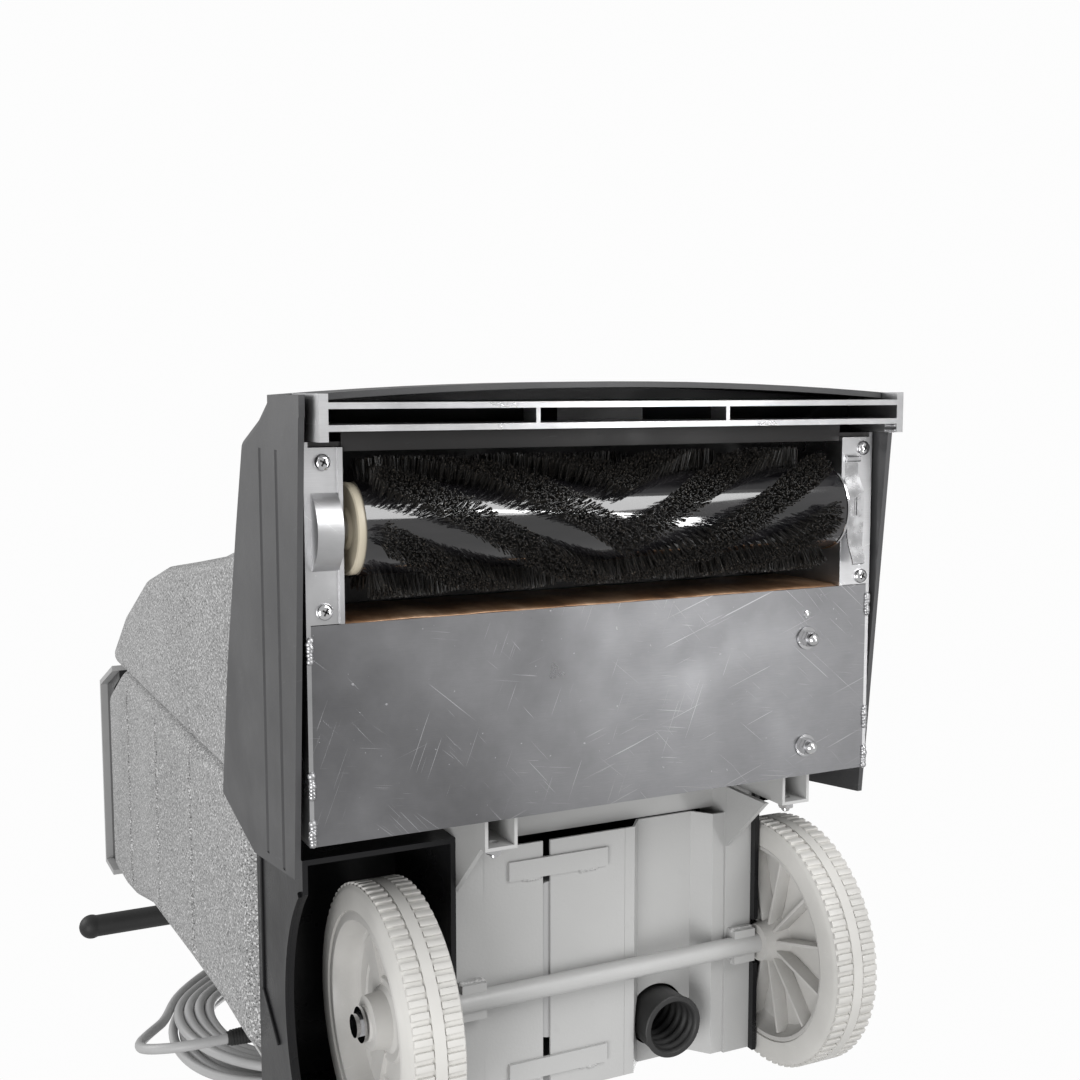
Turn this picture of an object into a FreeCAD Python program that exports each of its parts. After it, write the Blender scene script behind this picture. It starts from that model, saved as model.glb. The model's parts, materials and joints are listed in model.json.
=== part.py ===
import FreeCAD, Part
import Sketcher
import math
import os
import re

# Carpet cleaner machine: a walk-behind extractor with a vacuum shoe, a cylindrical brush,
# two moulded tanks, a steel rolling chassis and a cord hung on hooks at the back.
# Millimetres. +Z is up, -Y is the front (vacuum shoe), the machine stands on Z = 0.

VALUES = {
    "head_half": 228.5, "sheet_thick": 3, "head_front": -316, "head_rear": -50,
    "pan_front": -197, "pan_base": 35, "head_top": 125,
    "shoe_front": -341.5, "lip_thick": 4, "shoe_gap": 10, "shoe_half": 222.5, "shoe_tall": 58,
    "end_thick": 6, "end_front": -347, "end_rear": -317,
    "brush_y": -258, "brush_z": 50, "bristle_rad": 49.5, "core_rad": 32, "brush_half": 192,
    "left_wall": -206, "right_wall": 198, "shaft_rad": 8, "running_gap": 0.05,
    "hood_half": 236, "hood_wall": 4, "hood_front": -346, "hood_bow": 9,
    "chassis_x": 38, "wheel_x": 24, "axle_y": 110, "wheel_rad": 101.6, "axle_rad": 8, "axle_half": 198.3,
    "hub_inner": 150, "hub_rad": 15, "tyre_inner": 154, "tyre_outer": 196, "rim_rad": 82,
    "rail_offset": 122, "rail_wide": 25, "rail_tall": 40, "rail_base": 110,
    "rail_front": -24.6, "rail_rear": 204.5, "post_wide": 25.4, "post_base": 45,
    "panel_base": 112, "panel_thick": 2, "cuff_x": 92, "cuff_y": 166, "cuff_rad": 26, "cuff_bore": 19,
    "shell_half": 214, "shell_top": 228, "shell_base": 104, "shell_front": -18, "shell_rear": 205,
    "shell_wall": 4, "tank_half": 222, "tank_wall": 5, "seam_y": -35, "tank_top": 872,
    "console_top": 925, "cover_thick": 6,
    "bar_y": 331, "bar_z": 975, "bar_rad": 11, "grip_rad": 13.5, "grip_tip": 250, "grip_start": 130,
    "motor_y": -112, "motor_z": 168, "motor_rad": 38, "pulley_x": -219, "pulley_wide": 9,
    "motor_pulley_rad": 14, "brush_pulley_rad": 22, "belt_thick": 3,
    "coil_x": -85, "coil_y": 260, "coil_z": 462, "coil_inner": 108, "coil_outer": 160, "coil_deep": 36,
    "cord_rad": 4.5, "tail_x": 68, "tail_y": 268, "panel_rear": 208,
    "relief_y": 223, "relief_z": 360, "relief_tip": -210,
    "neck_x": 120, "neck_y": 150, "neck_rad": 30, "lid_rad": 46, "switch_y": 190,
}

doc = FreeCAD.newDocument("carpet_cleaner")
sheet = doc.addObject("Spreadsheet::Sheet", "dims")
for row, (alias, value) in enumerate(VALUES.items(), 1):
    sheet.set("A%d" % row, alias)
    sheet.set("B%d" % row, str(value))
    sheet.setAlias("B%d" % row, alias)
doc.recompute()

NODES = []
FIXINGS = []
PINS = []
ALIAS = re.compile(r"\b(%s)\b" % "|".join(VALUES))
Vector = FreeCAD.Vector
TURN = {"X": FreeCAD.Rotation(Vector(0, 1, 0), 90), "Y": FreeCAD.Rotation(Vector(1, 0, 0), -90),
        "Z": FreeCAD.Rotation()}


def size(name):
    """The value of a driving dimension."""
    return float(sheet.get(name))


def bind(obj, prop, text):
    """Ties a property to an expression in the sheet's aliases."""
    obj.setExpression(prop, ALIAS.sub(r"dims.\1", str(text)))


def put(obj, at, rotation=None):
    """Places an object at three expressions, turned by a rotation."""
    obj.Placement = FreeCAD.Placement(Vector(), rotation or FreeCAD.Rotation())
    for letter, text in zip("xyz", at):
        bind(obj, ".Placement.Base." + letter, text)
    return obj


def make(kind, label, at, rotation=None, **sizes):
    obj = doc.addObject(kind, re.sub(r"\W", "_", label))
    obj.Label = label
    for prop, text in sizes.items():
        bind(obj, prop, text)
    return put(obj, at, rotation)


def box(label, x, y, z):
    """A block between low and high expressions along each axis."""
    spans = ["(%s) - (%s)" % (high, low) for low, high in (x, y, z)]
    return make("Part::Box", label, (x[0], y[0], z[0]), Length=spans[0], Width=spans[1], Height=spans[2])


def rod(label, axis, at, length, radius):
    """A round bar from a point, along +X, +Y or +Z."""
    return make("Part::Cylinder", label, at, TURN[axis], Radius=radius, Height=length)


def taper(label, axis, at, length, radius_start, radius_end):
    return make("Part::Cone", label, at, TURN[axis], Radius1=radius_start, Radius2=radius_end, Height=length)


def ball(label, at, radius):
    return make("Part::Sphere", label, at, Radius=radius)


def fuse(label, pieces):
    obj = doc.addObject("Part::MultiFuse", re.sub(r"\W", "_", label))
    obj.Label = label
    obj.Shapes = pieces
    obj.Refine = True
    return obj


def cut(label, base, tools):
    """The base with every tool taken away."""
    for number, tool in enumerate(tools):
        obj = doc.addObject("Part::Cut", re.sub(r"\W", "_", "%s_cut_%d" % (label, number)))
        obj.Base = base
        obj.Tool = tool
        base = obj
    base.Label = label
    return base


def group(label, pieces):
    """Identical loose pieces kept in one node as separate solids."""
    obj = doc.addObject("Part::Compound", re.sub(r"\W", "_", label))
    obj.Label = label
    obj.Links = pieces
    return obj


def tube(label, axis, at, length, outer, inner):
    return cut(label, rod(label + "_outer", axis, at, length, outer),
               [rod(label + "_inner", axis, at, length, inner)])


def node(obj):
    NODES.append(obj)
    return obj


def together(label, pieces):
    """Related pieces of one body, kept as separate solids in one node."""
    return node(group(label, pieces))


def sketch_on(body, role, points, name):
    """A closed outline on one of the body's own origin planes, each corner dimensioned."""
    plane = next(p for p in body.Origin.OriginFeatures if p.Role == role)
    sketch = body.newObject("Sketcher::SketchObject", name)
    sketch.AttachmentSupport = [(plane, "")]
    sketch.MapMode = "FlatFace"
    count = len(points)
    for number in range(count):
        ends = [Vector(*points[(number + step) % count], 0) for step in (0, 1)]
        sketch.addGeometry(Part.LineSegment(*ends), False)
    for number in range(count):
        sketch.addConstraint(Sketcher.Constraint("Coincident", number, 2, (number + 1) % count, 1))
    for number, (across, up) in enumerate(points):
        sketch.addConstraint(Sketcher.Constraint("DistanceX", -1, 1, number, 1, across))
        sketch.addConstraint(Sketcher.Constraint("DistanceY", -1, 1, number, 1, up))
    return sketch


def body_named(label):
    body = doc.addObject("PartDesign::Body", re.sub(r"\W", "_", label))
    body.Label = label
    return body


def prism(label, outline, width, at_x="0", role="YZ_Plane"):
    """A side outline in (Y, Z) padded evenly to both sides of X = at_x."""
    body = body_named(label)
    sketch = sketch_on(body, role, outline, label + "_outline")
    pad = body.newObject("PartDesign::Pad", label + "_pad")
    pad.Profile = sketch
    pad.Midplane = True
    bind(pad, "Length", width)
    sketch.Visibility = False
    put(body, (at_x, "0", "0"))
    doc.recompute()
    return body


def rounded(body, radius, wanted):
    """Rounds the edges of a body's last feature that the test picks."""
    base = body.Tip
    edges = ["Edge%d" % number for number, edge in enumerate(base.Shape.Edges, 1) if wanted(edge)]
    fillet = body.newObject("PartDesign::Fillet", body.Label + "_round")
    fillet.Base = (base, edges)
    fillet.Radius = radius
    doc.recompute()
    return body


def turned(label, outline, at, mirrored=False):
    """An outline in (X, Z) revolved about the body's X axis; mirrored turns it end for end."""
    body = body_named(label)
    sketch = sketch_on(body, "XZ_Plane", outline, label + "_outline")
    spin = body.newObject("PartDesign::Revolution", label + "_turn")
    spin.Profile = sketch
    spin.ReferenceAxis = (next(a for a in body.Origin.OriginFeatures if a.Role == "X_Axis"), [""])
    spin.Angle = 360
    put(body, at, FreeCAD.Rotation(Vector(0, 0, 1), 180) if mirrored else None)
    doc.recompute()
    return body


def inset(points, gap):
    """An outline moved inwards by a gap; the points run counter-clockwise."""
    result = []
    for number, corner in enumerate(points):
        before, after = points[number - 1], points[(number + 1) % len(points)]
        lines = []
        for start, end in ((before, corner), (corner, after)):
            run = math.hypot(end[0] - start[0], end[1] - start[1])
            normal = (-(end[1] - start[1]) / run, (end[0] - start[0]) / run)
            lines.append((normal, normal[0] * corner[0] + normal[1] * corner[1] + gap))
        (first, reach), (second, far) = lines
        cross = first[0] * second[1] - first[1] * second[0]
        result.append(((reach * second[1] - far * first[1]) / cross,
                       (first[0] * far - second[0] * reach) / cross))
    return result


def tank(label, outline, radius):
    """A rotomoulded tank: a rounded prism with an even wall."""
    wall = size("tank_wall")
    outer = rounded(prism(label + "_skin", outline, "2 * tank_half"), radius, lambda edge: True)
    cavity = rounded(prism(label + "_cavity", inset(outline, wall), "2 * (tank_half - tank_wall)"),
                     radius - wall, lambda edge: True)
    return outer, cavity


# ---------------------------------------------------------------- vacuum and brush head
def head():
    inner = "(head_half - sheet_thick)"
    profile = [(-316, 35), (-50, 35), (-50, 128), (-300, 128), (-316, 112)]
    together("side_plates", [prism(side + "_side_plate", profile, "sheet_thick",
                                   sign + " * (head_half - sheet_thick / 2)")
                             for side, sign in (("left", "-1"), ("right", "1"))])
    across = ("-" + inner, inner)
    between = ("left_wall", "right_wall + sheet_thick")
    upright = ("pan_base + sheet_thick", "head_top")
    node(box("head_pan", across, ("pan_front", "head_rear"), ("pan_base", "pan_base + sheet_thick")))
    together("head_walls", [
        box("brush_wall", between, ("pan_front", "pan_front + sheet_thick"), upright),
        box("front_wall", across, ("head_front", "head_front + sheet_thick"), upright),
        box("head_back", across, ("head_rear - sheet_thick", "head_rear"), upright)])
    top = box("head_top_blank", across, ("head_front", "head_rear"), ("head_top", "head_top + sheet_thick"))
    slot = box("belt_slot", ("-225.4", "-207"), ("-275", "-85"), ("head_top - 1", "head_top + 5"))
    node(cut("head_top_plate", top, [slot]))


def shoe():
    lips = {"shoe_front_lip": "shoe_front", "shoe_rear_lip": "shoe_front + lip_thick + shoe_gap"}
    together("shoe_lips", [box(name, ("-shoe_half", "shoe_half"), (start, start + " + lip_thick"),
                               ("0", "shoe_tall")) for name, start in lips.items()])
    ends = [box("shoe_end_%d" % number, span, ("end_front", "end_rear"), ("0", "shoe_tall"))
            for number, span in enumerate((("-shoe_half - end_thick", "-shoe_half"),
                                           ("shoe_half", "shoe_half + end_thick")))]
    spacers = [box("shoe_spacer_%d" % number, (x, x + " + 3"),
                   ("shoe_front + lip_thick", "shoe_front + lip_thick + shoe_gap"), ("4", "24"))
               for number, x in enumerate(("-78", "72"))]
    together("shoe_end_plates", ends + spacers)
    duct = [(-341, 58.3), (-323, 58.3), (-320.5, 118), (-318, 131), (-180, 131), (-180, 231.5), (-210, 225.4),
            (-210, 150), (-312, 150), (-326.5, 117), (-341, 90)]
    node(prism("vacuum_duct", duct, "70"))


def brush_ends():
    """The plates that carry the brush, their screws and the spring latch."""
    reach = ("head_front + sheet_thick + 0.5", "pan_front - 0.5")
    plates = []
    for side in ("left", "right"):
        x = side + "_wall"
        hole = rod(side + "_bearing_hole", "X", (x + " - 1", "brush_y", "brush_z"), "sheet_thick + 2",
                   "shaft_rad + running_gap")
        wall = box(side + "_plate_wall", (x, x + " + sheet_thick"), reach, ("pan_base - 2", "head_top"))
        plates.append(cut(side + "_bearing_plate", wall, [hole]))
    together("bearing_plates", plates)
    foot = ("pan_base", "pan_base + 2")
    # the left flange has a pressed dome that clears the belt
    blank = box("left_flange_blank", ("-head_half + sheet_thick", "left_wall"), reach, foot)
    dome_skin = rod("dome_skin", "X", ("-224", "brush_y", "brush_z"), "17.5", "29.5")
    dome_room = rod("dome_room", "X", ("-222", "brush_y", "brush_z"), "13.5", "27")
    above = box("dome_above", ("-230", "-200"), ("-300", "-210"), ("pan_base + 2", "90"))
    dome = cut("guard_dome", fuse("flange_with_dome", [blank, cut("dome_half", dome_skin, [above])]), [dome_room])
    together("guard_flanges", [
        dome,
        box("right_guard_flange", ("right_wall + sheet_thick", "head_half - sheet_thick"), reach, foot)])
    for number, (x, y) in enumerate((("-216", "-303"), ("-216", "-206"), ("219.5", "-304"), ("219.5", "-204"))):
        FIXINGS.append(taper("screw_head_%d" % number, "Z", (x, y, "pan_base - 3"), "3", "3.6", "5.6"))
    clip = [(-296, 31), (-296, 34.6), (-282, 34.6), (-270, 29.5), (-226, 29.5), (-214, 24), (-214, 21),
            (-229, 26.5), (-272, 26.5), (-283, 31)]
    strip = prism("latch_strip", clip, "13", "208")
    eye = tube("latch_eye", "X", ("201.5", "-296", "32.8"), "13", "1.75", "1.25")
    node(cut("brush_latch", fuse("latch_blank", [strip, eye]),
             [rod("latch_eye_bore", "X", ("201", "-296", "32.8"), "14", "1.25")]))
    PINS.append(rod("latch_pin", "X", ("201", "-296", "32.8"), "14", "1.2"))


def brush():
    shaft_span = ("pulley_x", "right_wall + sheet_thick + 3")
    node(rod("brush_shaft", "X", (shaft_span[0], "brush_y", "brush_z"),
             "(%s) - (%s)" % (shaft_span[1], shaft_span[0]), "shaft_rad"))
    node(tube("brush_core", "X", ("-brush_half", "brush_y", "brush_z"), "2 * brush_half", "core_rad", "shaft_rad"))
    node(tube("brush_bristles", "X", ("-brush_half + 4", "brush_y", "brush_z"), "2 * brush_half - 16",
              "bristle_rad", "core_rad"))
    together("brush_end_caps", [
        tube("brush_end_ring", "X", ("brush_half", "brush_y", "brush_z"), "3", "core_rad + 1", "shaft_rad"),
        tube("brush_end_disc", "X", ("-brush_half - 6", "brush_y", "brush_z"), "6", "core_rad - 1", "shaft_rad")])
    node(tube("brush_pulley", "X", ("pulley_x", "brush_y", "brush_z"), "pulley_wide", "brush_pulley_rad",
              "shaft_rad"))


def drive():
    """The brush motor on the head, its pulley and the belt in the left side channel."""
    face = "-150"
    can = rod("motor_can", "X", (face, "motor_y", "motor_z"), "170", "motor_rad")
    foot = box("motor_foot", ("-130", "0"), ("motor_y - 30", "motor_y + 30"), ("head_top + sheet_thick", "motor_z - 25"))
    bore = rod("motor_bore", "X", (face, "motor_y", "motor_z"), "30", "6.05")
    node(cut("brush_motor", fuse("motor_blank", [can, foot]), [bore]))
    together("motor_pulley", [
        rod("motor_shaft", "X", ("pulley_x", "motor_y", "motor_z"), "-122 - pulley_x", "6"),
        tube("pulley_rim", "X", ("pulley_x", "motor_y", "motor_z"), "pulley_wide", "motor_pulley_rad", "6")])
    belt_piece = doc.addObject("Part::Feature", "drive_belt")
    belt_piece.Label = "drive_belt"
    gap = 0.4
    loops = [loop_face(size("motor_pulley_rad") + gap + extra, size("brush_pulley_rad") + gap + extra)
             for extra in (size("belt_thick"), 0)]
    ring = loops[0].cut(loops[1])
    solid = ring.extrude(Vector(size("pulley_wide") - 1, 0, 0))
    belt_piece.Shape = Part.Solid(solid.Solids[0])
    belt_piece.Placement = FreeCAD.Placement(Vector(size("pulley_x") + 0.5, 0, 0), FreeCAD.Rotation())
    node(belt_piece)


def loop_face(small, large):
    """The face inside an open belt about the motor pulley and the brush pulley, in the YZ plane."""
    start = Vector(0, size("motor_y"), size("motor_z"))
    end = Vector(0, size("brush_y"), size("brush_z"))
    run = end.sub(start)
    heading = math.atan2(run.z, run.y)
    lean = math.acos((small - large) / run.Length)

    def spot(centre, radius, angle):
        return centre.add(Vector(0, radius * math.cos(angle), radius * math.sin(angle)))

    low, high = heading - lean, heading + lean
    edges = [Part.LineSegment(spot(start, small, high), spot(end, large, high)).toShape(),
             Part.Arc(spot(end, large, high), spot(end, large, heading), spot(end, large, low)).toShape(),
             Part.LineSegment(spot(end, large, low), spot(start, small, low)).toShape(),
             Part.Arc(spot(start, small, low), spot(start, small, heading + math.pi),
                      spot(start, small, high)).toShape()]
    return Part.Face(Part.Wire(edges))


def bowed(label, half, front, base, height):
    """A block whose front edge bows forward in a parabola, behind it a straight edge."""
    gaps = 15
    shares = [2 * number / gaps - 1 for number in range(gaps + 1)]
    edge = [(half * share, front - size("hood_bow") * (1 - share ** 2)) for share in shares]
    body = body_named(label)
    sketch = sketch_on(body, "XY_Plane", [(half, front + 14), (-half, front + 14)] + edge, label + "_outline")
    pad = body.newObject("PartDesign::Pad", label + "_pad")
    pad.Profile = sketch
    pad.Midplane = True
    pad.Length = height
    put(body, ("0", "0", base + height / 2))
    doc.recompute()
    return body


def hood():
    """The dark moulded hood over the head, open below and behind."""
    outline = [(-346, 18), (-26, 47), (-14, 149), (-37, 250), (-143, 225), (-252, 189), (-315, 166),
               (-332, 119), (-346, 94)]
    shell = rounded(prism("hood_skin", outline, "2 * hood_half"), 9,
                    lambda edge: edge.BoundBox.ZMin > 90 and edge.BoundBox.YMax < -20)
    hollow = [(-342, -20), (60, -20), (60, 267), (-30, 246.5), (-142, 220.5), (-251, 184.5), (-312, 162),
              (-328, 118), (-342, 93)]
    room = rounded(prism("hood_room", hollow, "2 * (hood_half - hood_wall)"), 5,
                   lambda edge: edge.BoundBox.ZMin > 90 and edge.BoundBox.YMax < -32)
    hole = box("hood_duct_hole", ("-38", "38"), ("-214", "-176"), ("160", "260"))
    notches = [box("hood_notch_%d" % number, span, ("end_front - 10", "end_rear + 1"), ("10", "shoe_tall + 0.5"))
               for number, span in enumerate((("-hood_half + hood_wall", "-shoe_half + 0.5"),
                                              ("shoe_half - 0.5", "hood_half - hood_wall")))]
    creases = []
    for number, z in enumerate(("72", "112")):
        for side, x in (("left", "-hood_half - 3"), ("right", "hood_half + 3")):
            creases.append(rod("hood_crease_%s_%d" % (side, number), "Y", (x, "head_front + 6", z), "285", "4.5"))
    front, wall = size("hood_front"), size("hood_wall")
    brow = bowed("hood_brow", size("hood_half"), front, 18, 72)
    brow_room = bowed("hood_brow_room", size("hood_half") - wall, front + wall, -20, 106)
    node(cut("front_hood", fuse("hood_blank", [shell, brow]), [room, brow_room, hole] + notches + creases))
    for number, (start, y) in enumerate((("-head_half - 3.5", "-280"), ("-head_half - 3.5", "-90"),
                                         ("head_half", "-280"), ("head_half", "-90"))):
        FIXINGS.append(rod("hood_spacer_%d" % number, "X", (start, y, "100"), "3.5", "5"))


def pan_fixings():
    for number, y in enumerate(("-158.5", "-74")):
        washer = rod("pan_washer_%d" % number, "Z", ("169", y, "pan_base - 1.5"), "1.5", "8.5")
        nut = rod("pan_nut_%d" % number, "Z", ("169", y, "pan_base - 8"), "6.5", "5.5")
        cap = ball("pan_cap_%d" % number, ("169", y, "pan_base - 8"), "5")
        FIXINGS.append(fuse("pan_fixing_%d" % number, [washer, nut, cap]))
    FIXINGS.append(rod("pan_rivet", "Z", ("169", "-177", "pan_base - 2"), "2", "3.5"))


# ---------------------------------------------------------------- rolling chassis
def chassis():
    centre = {"left": "chassis_x - rail_offset", "right": "chassis_x + rail_offset"}
    long_way = ("rail_front", "rail_rear")
    rails, uprights = [], []
    for side, x in centre.items():
        span = (x + " - rail_wide / 2", x + " + rail_wide / 2")
        blank = box(side + "_rail_blank", span, long_way, ("rail_base", "rail_base + rail_tall"))
        room = box(side + "_rail_room", (x + " - rail_wide / 2 + 2.5", x + " + rail_wide / 2 - 2.5"), long_way,
                   ("rail_base + 2.5", "rail_base + rail_tall - 2.5"))
        rails.append(cut(side + "_rail", blank, [room]))
    posts = {"left": "-86", "right": "169"}
    for side, x in posts.items():
        half = "post_wide / 2"
        blank = box(side + "_post_blank", ("%s - %s" % (x, half), "%s + %s" % (x, half)),
                    ("head_rear", "head_rear + post_wide"), ("post_base", "rail_base + rail_tall"))
        room = box(side + "_post_room", ("%s - %s + 2.5" % (x, half), "%s + %s - 2.5" % (x, half)),
                   ("head_rear + 2.5", "head_rear + post_wide - 2.5"), ("post_base", "rail_base + rail_tall"))
        hole = rod(side + "_post_hole", "Y", (x, "-55", "58"), "40", "3.5")
        uprights.append(cut(side + "_post", blank, [room, hole]))
    together("chassis_rails", rails)
    together("head_posts", uprights)
    for side, x in posts.items():
        shank = rod(side + "_bolt_shank", "Y", (x, "head_rear + 0.2", "58"), "35", "3.4")
        nut = rod(side + "_bolt_nut", "Y", (x, "rail_front + 0.2", "58"), "6", "6.5")
        FIXINGS.append(fuse(side + "_post_bolt", [shank, nut]))
    together("head_fixings", FIXINGS)
    middle = ("chassis_x - rail_offset + rail_wide / 2", "chassis_x + rail_offset - rail_wide / 2")
    brackets = [box(name, middle, y, ("panel_base + 18", "rail_base + rail_tall"))
                for name, y in (("front_cross_member", ("rail_front", "rail_front + 22")),
                                ("rear_cross_member", ("rail_rear - 10", "rail_rear")))]
    brackets += [prism(side + "_gusset", [(-24.4, 56), (26, 109.8), (-24.4, 109.8)], "4", x + " - 10.5")
                 for side, x in centre.items()]
    panels()
    node(rod("axle", "X", ("wheel_x - axle_half", "axle_y", "wheel_rad"), "2 * axle_half", "axle_rad"))
    for side, x in centre.items():
        block = box(side + "_saddle_block", (x + " - 10", x + " + 10"), ("axle_y - 14", "axle_y + 14"),
                    ("wheel_rad - 3", "rail_base"))
        seat = rod(side + "_saddle_seat", "X", (x + " - 11", "axle_y", "wheel_rad"), "22", "axle_rad")
        brackets.append(cut(side + "_saddle", block, [seat]))
    together("chassis_brackets", brackets)
    caps = []
    for side, start in (("left", "wheel_x - tyre_outer - 2.3"), ("right", "wheel_x + tyre_outer + 0.5")):
        caps.append(tube(side + "_washer", "X", (start, "axle_y", "wheel_rad"), "1.8", "13", "axle_rad"))
    for side, start in (("left", "wheel_x - axle_half - 4.5"), ("right", "wheel_x + axle_half")):
        caps.append(rod(side + "_axle_cap", "X", (start, "axle_y", "wheel_rad"), "4.5", "8.5"))
    together("axle_caps", caps)


def panels():
    """The sheet floor between the rails, its cross straps and the hose cuff."""
    along = ("rail_front + 22.5", "rail_rear - 0.5")
    level = ("panel_base", "panel_base + panel_thick")
    floor = [box("left_floor_panel", ("chassis_x - rail_offset + rail_wide / 2", "-20"), along, level),
             box("middle_floor_panel", ("-13.5", "53"), along, level)]
    tray = body_named("recess_skin")
    # seen from the front: a raised tray between two low lips
    profile = [(53.2, 112), (62, 112), (74, 127), (124, 127), (136, 112), (147.5, 112), (147.5, 114), (137, 114),
               (125, 129), (73, 129), (61, 114), (53.2, 114)]
    sketch = sketch_on(tray, "XZ_Plane", profile, "recess_outline")
    pad = tray.newObject("PartDesign::Pad", "recess_pad")
    pad.Profile = sketch
    pad.Midplane = True
    bind(pad, "Length", "rail_rear - rail_front - 23")
    put(tray, ("0", "(rail_front + rail_rear + 22) / 2", "0"))
    doc.recompute()
    hole = rod("cuff_hole", "Z", ("cuff_x", "cuff_y", "panel_base"), "30", "cuff_rad")
    node(cut("recess_panel", tray, [hole]))
    floor += [box("strap_%d" % number, ("-50", "36"), (y, y + " + 15"), ("panel_base - 3", "panel_base"))
              for number, y in enumerate(("10", "172"))]
    together("floor_panels", floor)
    node(tube("hose_cuff", "Z", ("cuff_x", "cuff_y", "99"), "60", "cuff_rad", "cuff_bore"))


def wheel(side, mirrored):
    """A moulded wheel with hub, ribbed web and rubber tyre; the outline runs out along the axle."""
    bore = size("axle_rad") + size("running_gap")
    rim = size("rim_rad")
    hub, inner, outer = size("hub_inner"), size("tyre_inner"), size("tyre_outer")
    disc = [(hub, bore), (outer - 1.5, bore), (outer - 1.5, 16), (outer - 19, 18), (outer - 26, 70), (outer - 3, 75),
            (outer - 3, rim), (inner + 2, rim), (inner + 2, 77), (inner + 12, 73), (inner + 18, 18),
            (hub, size("hub_rad"))]
    at = ("wheel_x", "axle_y", "wheel_rad")
    blank = turned(side + "_disc_blank", disc, at, mirrored)
    ribs = []
    for number in range(12):
        rib = doc.addObject("Part::Box", "%s_rib_%d" % (side, number))
        rib.Length, rib.Width, rib.Height = 10, 2.4, 58.5
        spin = FreeCAD.Rotation(Vector(1, 0, 0), 30 * number)
        shift = spin.multVec(Vector(0, -1.2, 16))
        start = size("wheel_x") + (-inner - 15.5 if mirrored else inner + 5.5)
        rib.Placement = FreeCAD.Placement(Vector(start, size("axle_y") + shift.y, size("wheel_rad") + shift.z), spin)
        ribs.append(rib)
    node(fuse(side + "_wheel_disc", [blank] + ribs))
    tread = [(inner, rim), (outer, rim), (outer, 96), (outer - 3, 100), (outer - 10, 101.6), (inner + 10, 101.6),
             (inner + 3, 100), (inner, 96)]
    node(turned(side + "_tyre", tread, at, mirrored))


# ---------------------------------------------------------------- shell, tanks and console
def base_shell():
    across = ("-shell_half", "shell_half")
    along = ("shell_front", "shell_rear")
    blank = box("shell_blank", across, along, ("shell_base", "shell_top"))
    inside = ("shell_front + shell_wall", "shell_rear - shell_wall")
    rise = ("shell_base - 1", "shell_top - shell_wall")
    rail_outer = "rail_offset + rail_wide / 2"
    wheel_gap = ("shell_rear - 10", "shell_rear + 1")
    low_rise = ("shell_base - 1", "rail_base + rail_tall")
    rooms = [box("shell_room", ("chassis_x - (%s)" % rail_outer, "chassis_x + %s" % rail_outer),
                 ("shell_front - 1", "shell_rear + 1"), rise),
             box("left_well", ("-shell_half + shell_wall", "chassis_x - (%s) - shell_wall" % rail_outer), inside, rise),
             box("right_well", ("chassis_x + %s + shell_wall" % rail_outer, "shell_half - shell_wall"), inside, rise),
             box("left_rear_gap", ("-shell_half + shell_wall", "chassis_x - (%s) - shell_wall" % rail_outer),
                 wheel_gap, low_rise),
             box("right_rear_gap", ("chassis_x + %s + shell_wall" % rail_outer, "shell_half + 1"), wheel_gap,
                 low_rise),
             rod("right_arch", "X", ("shell_half - 10", "axle_y", "wheel_rad"), "20", "wheel_rad + 12"),
             rod("left_arch", "X", ("-shell_half - 5", "axle_y - 10", "20"), "20", "125"),
             rod("axle_notch", "X", ("chassis_x - 150", "axle_y", "wheel_rad"), "300", "hub_rad + 4")]
    node(cut("base_shell", blank, rooms))


def tanks():
    rear = [(-34.6, 228.2), (183, 228.2), (181, 324), (187, 447), (194, 560), (199, 646), (221, 745), (226, 790),
            (226, 872), (5, 872), (-34.6, 790)]
    outer, cavity = tank("solution", rear, 20)
    grooves = []
    for number, z in enumerate(("430", "585", "740")):
        for side, x in (("left", "-tank_half - 5"), ("right", "tank_half + 5")):
            grooves.append(rod("tank_groove_%s_%d" % (side, number), "Y", (x, "seam_y - 5", z), "280", "8"))
    neck = rod("neck_outside", "Z", ("neck_x", "neck_y", "tank_top - 3"), "69", "neck_rad")
    bore = rod("neck_bore", "Z", ("neck_x", "neck_y", "tank_top - 20"), "90", "neck_rad - 4")
    node(cut("solution_tank", fuse("solution_blank", [outer, neck]), [cavity, bore] + grooves))
    front = [(-233, 222), (-35.4, 262), (-35.4, 812), (-52, 825.1), (-106, 740), (-158, 621), (-181, 526), (-199, 403),
             (-214, 305)]
    outer, cavity = tank("recovery", front, 12)
    mouth = rod_on_slope("recovery_mouth", 36, -20, 40)
    inlet = box("duct_inlet", ("-30", "30"), ("-206", "-184"), ("200", "250"))
    node(cut("recovery_tank", outer, [cavity, mouth, inlet]))


SLOPE_LOW = Vector(0, -106, 740)
SLOPE_HIGH = Vector(0, -52, 825.1)


def slope_frame():
    """The middle of the recovery tank's sloping top, its uphill direction and its outward normal."""
    uphill = SLOPE_HIGH.sub(SLOPE_LOW).normalize()
    normal = Vector(0, -uphill.z, uphill.y)
    middle = SLOPE_LOW.add(SLOPE_HIGH).multiply(0.5)
    return middle, uphill, normal


def rod_on_slope(label, radius, start, length):
    """A round piece standing on the sloping top, from a height along its normal."""
    middle, uphill, normal = slope_frame()
    piece = doc.addObject("Part::Cylinder", label)
    piece.Label = label
    piece.Radius = radius
    piece.Height = length
    piece.Placement = FreeCAD.Placement(middle.add(Vector(normal).multiply(start)),
                                        FreeCAD.Rotation(Vector(0, 0, 1), normal))
    return piece


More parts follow.
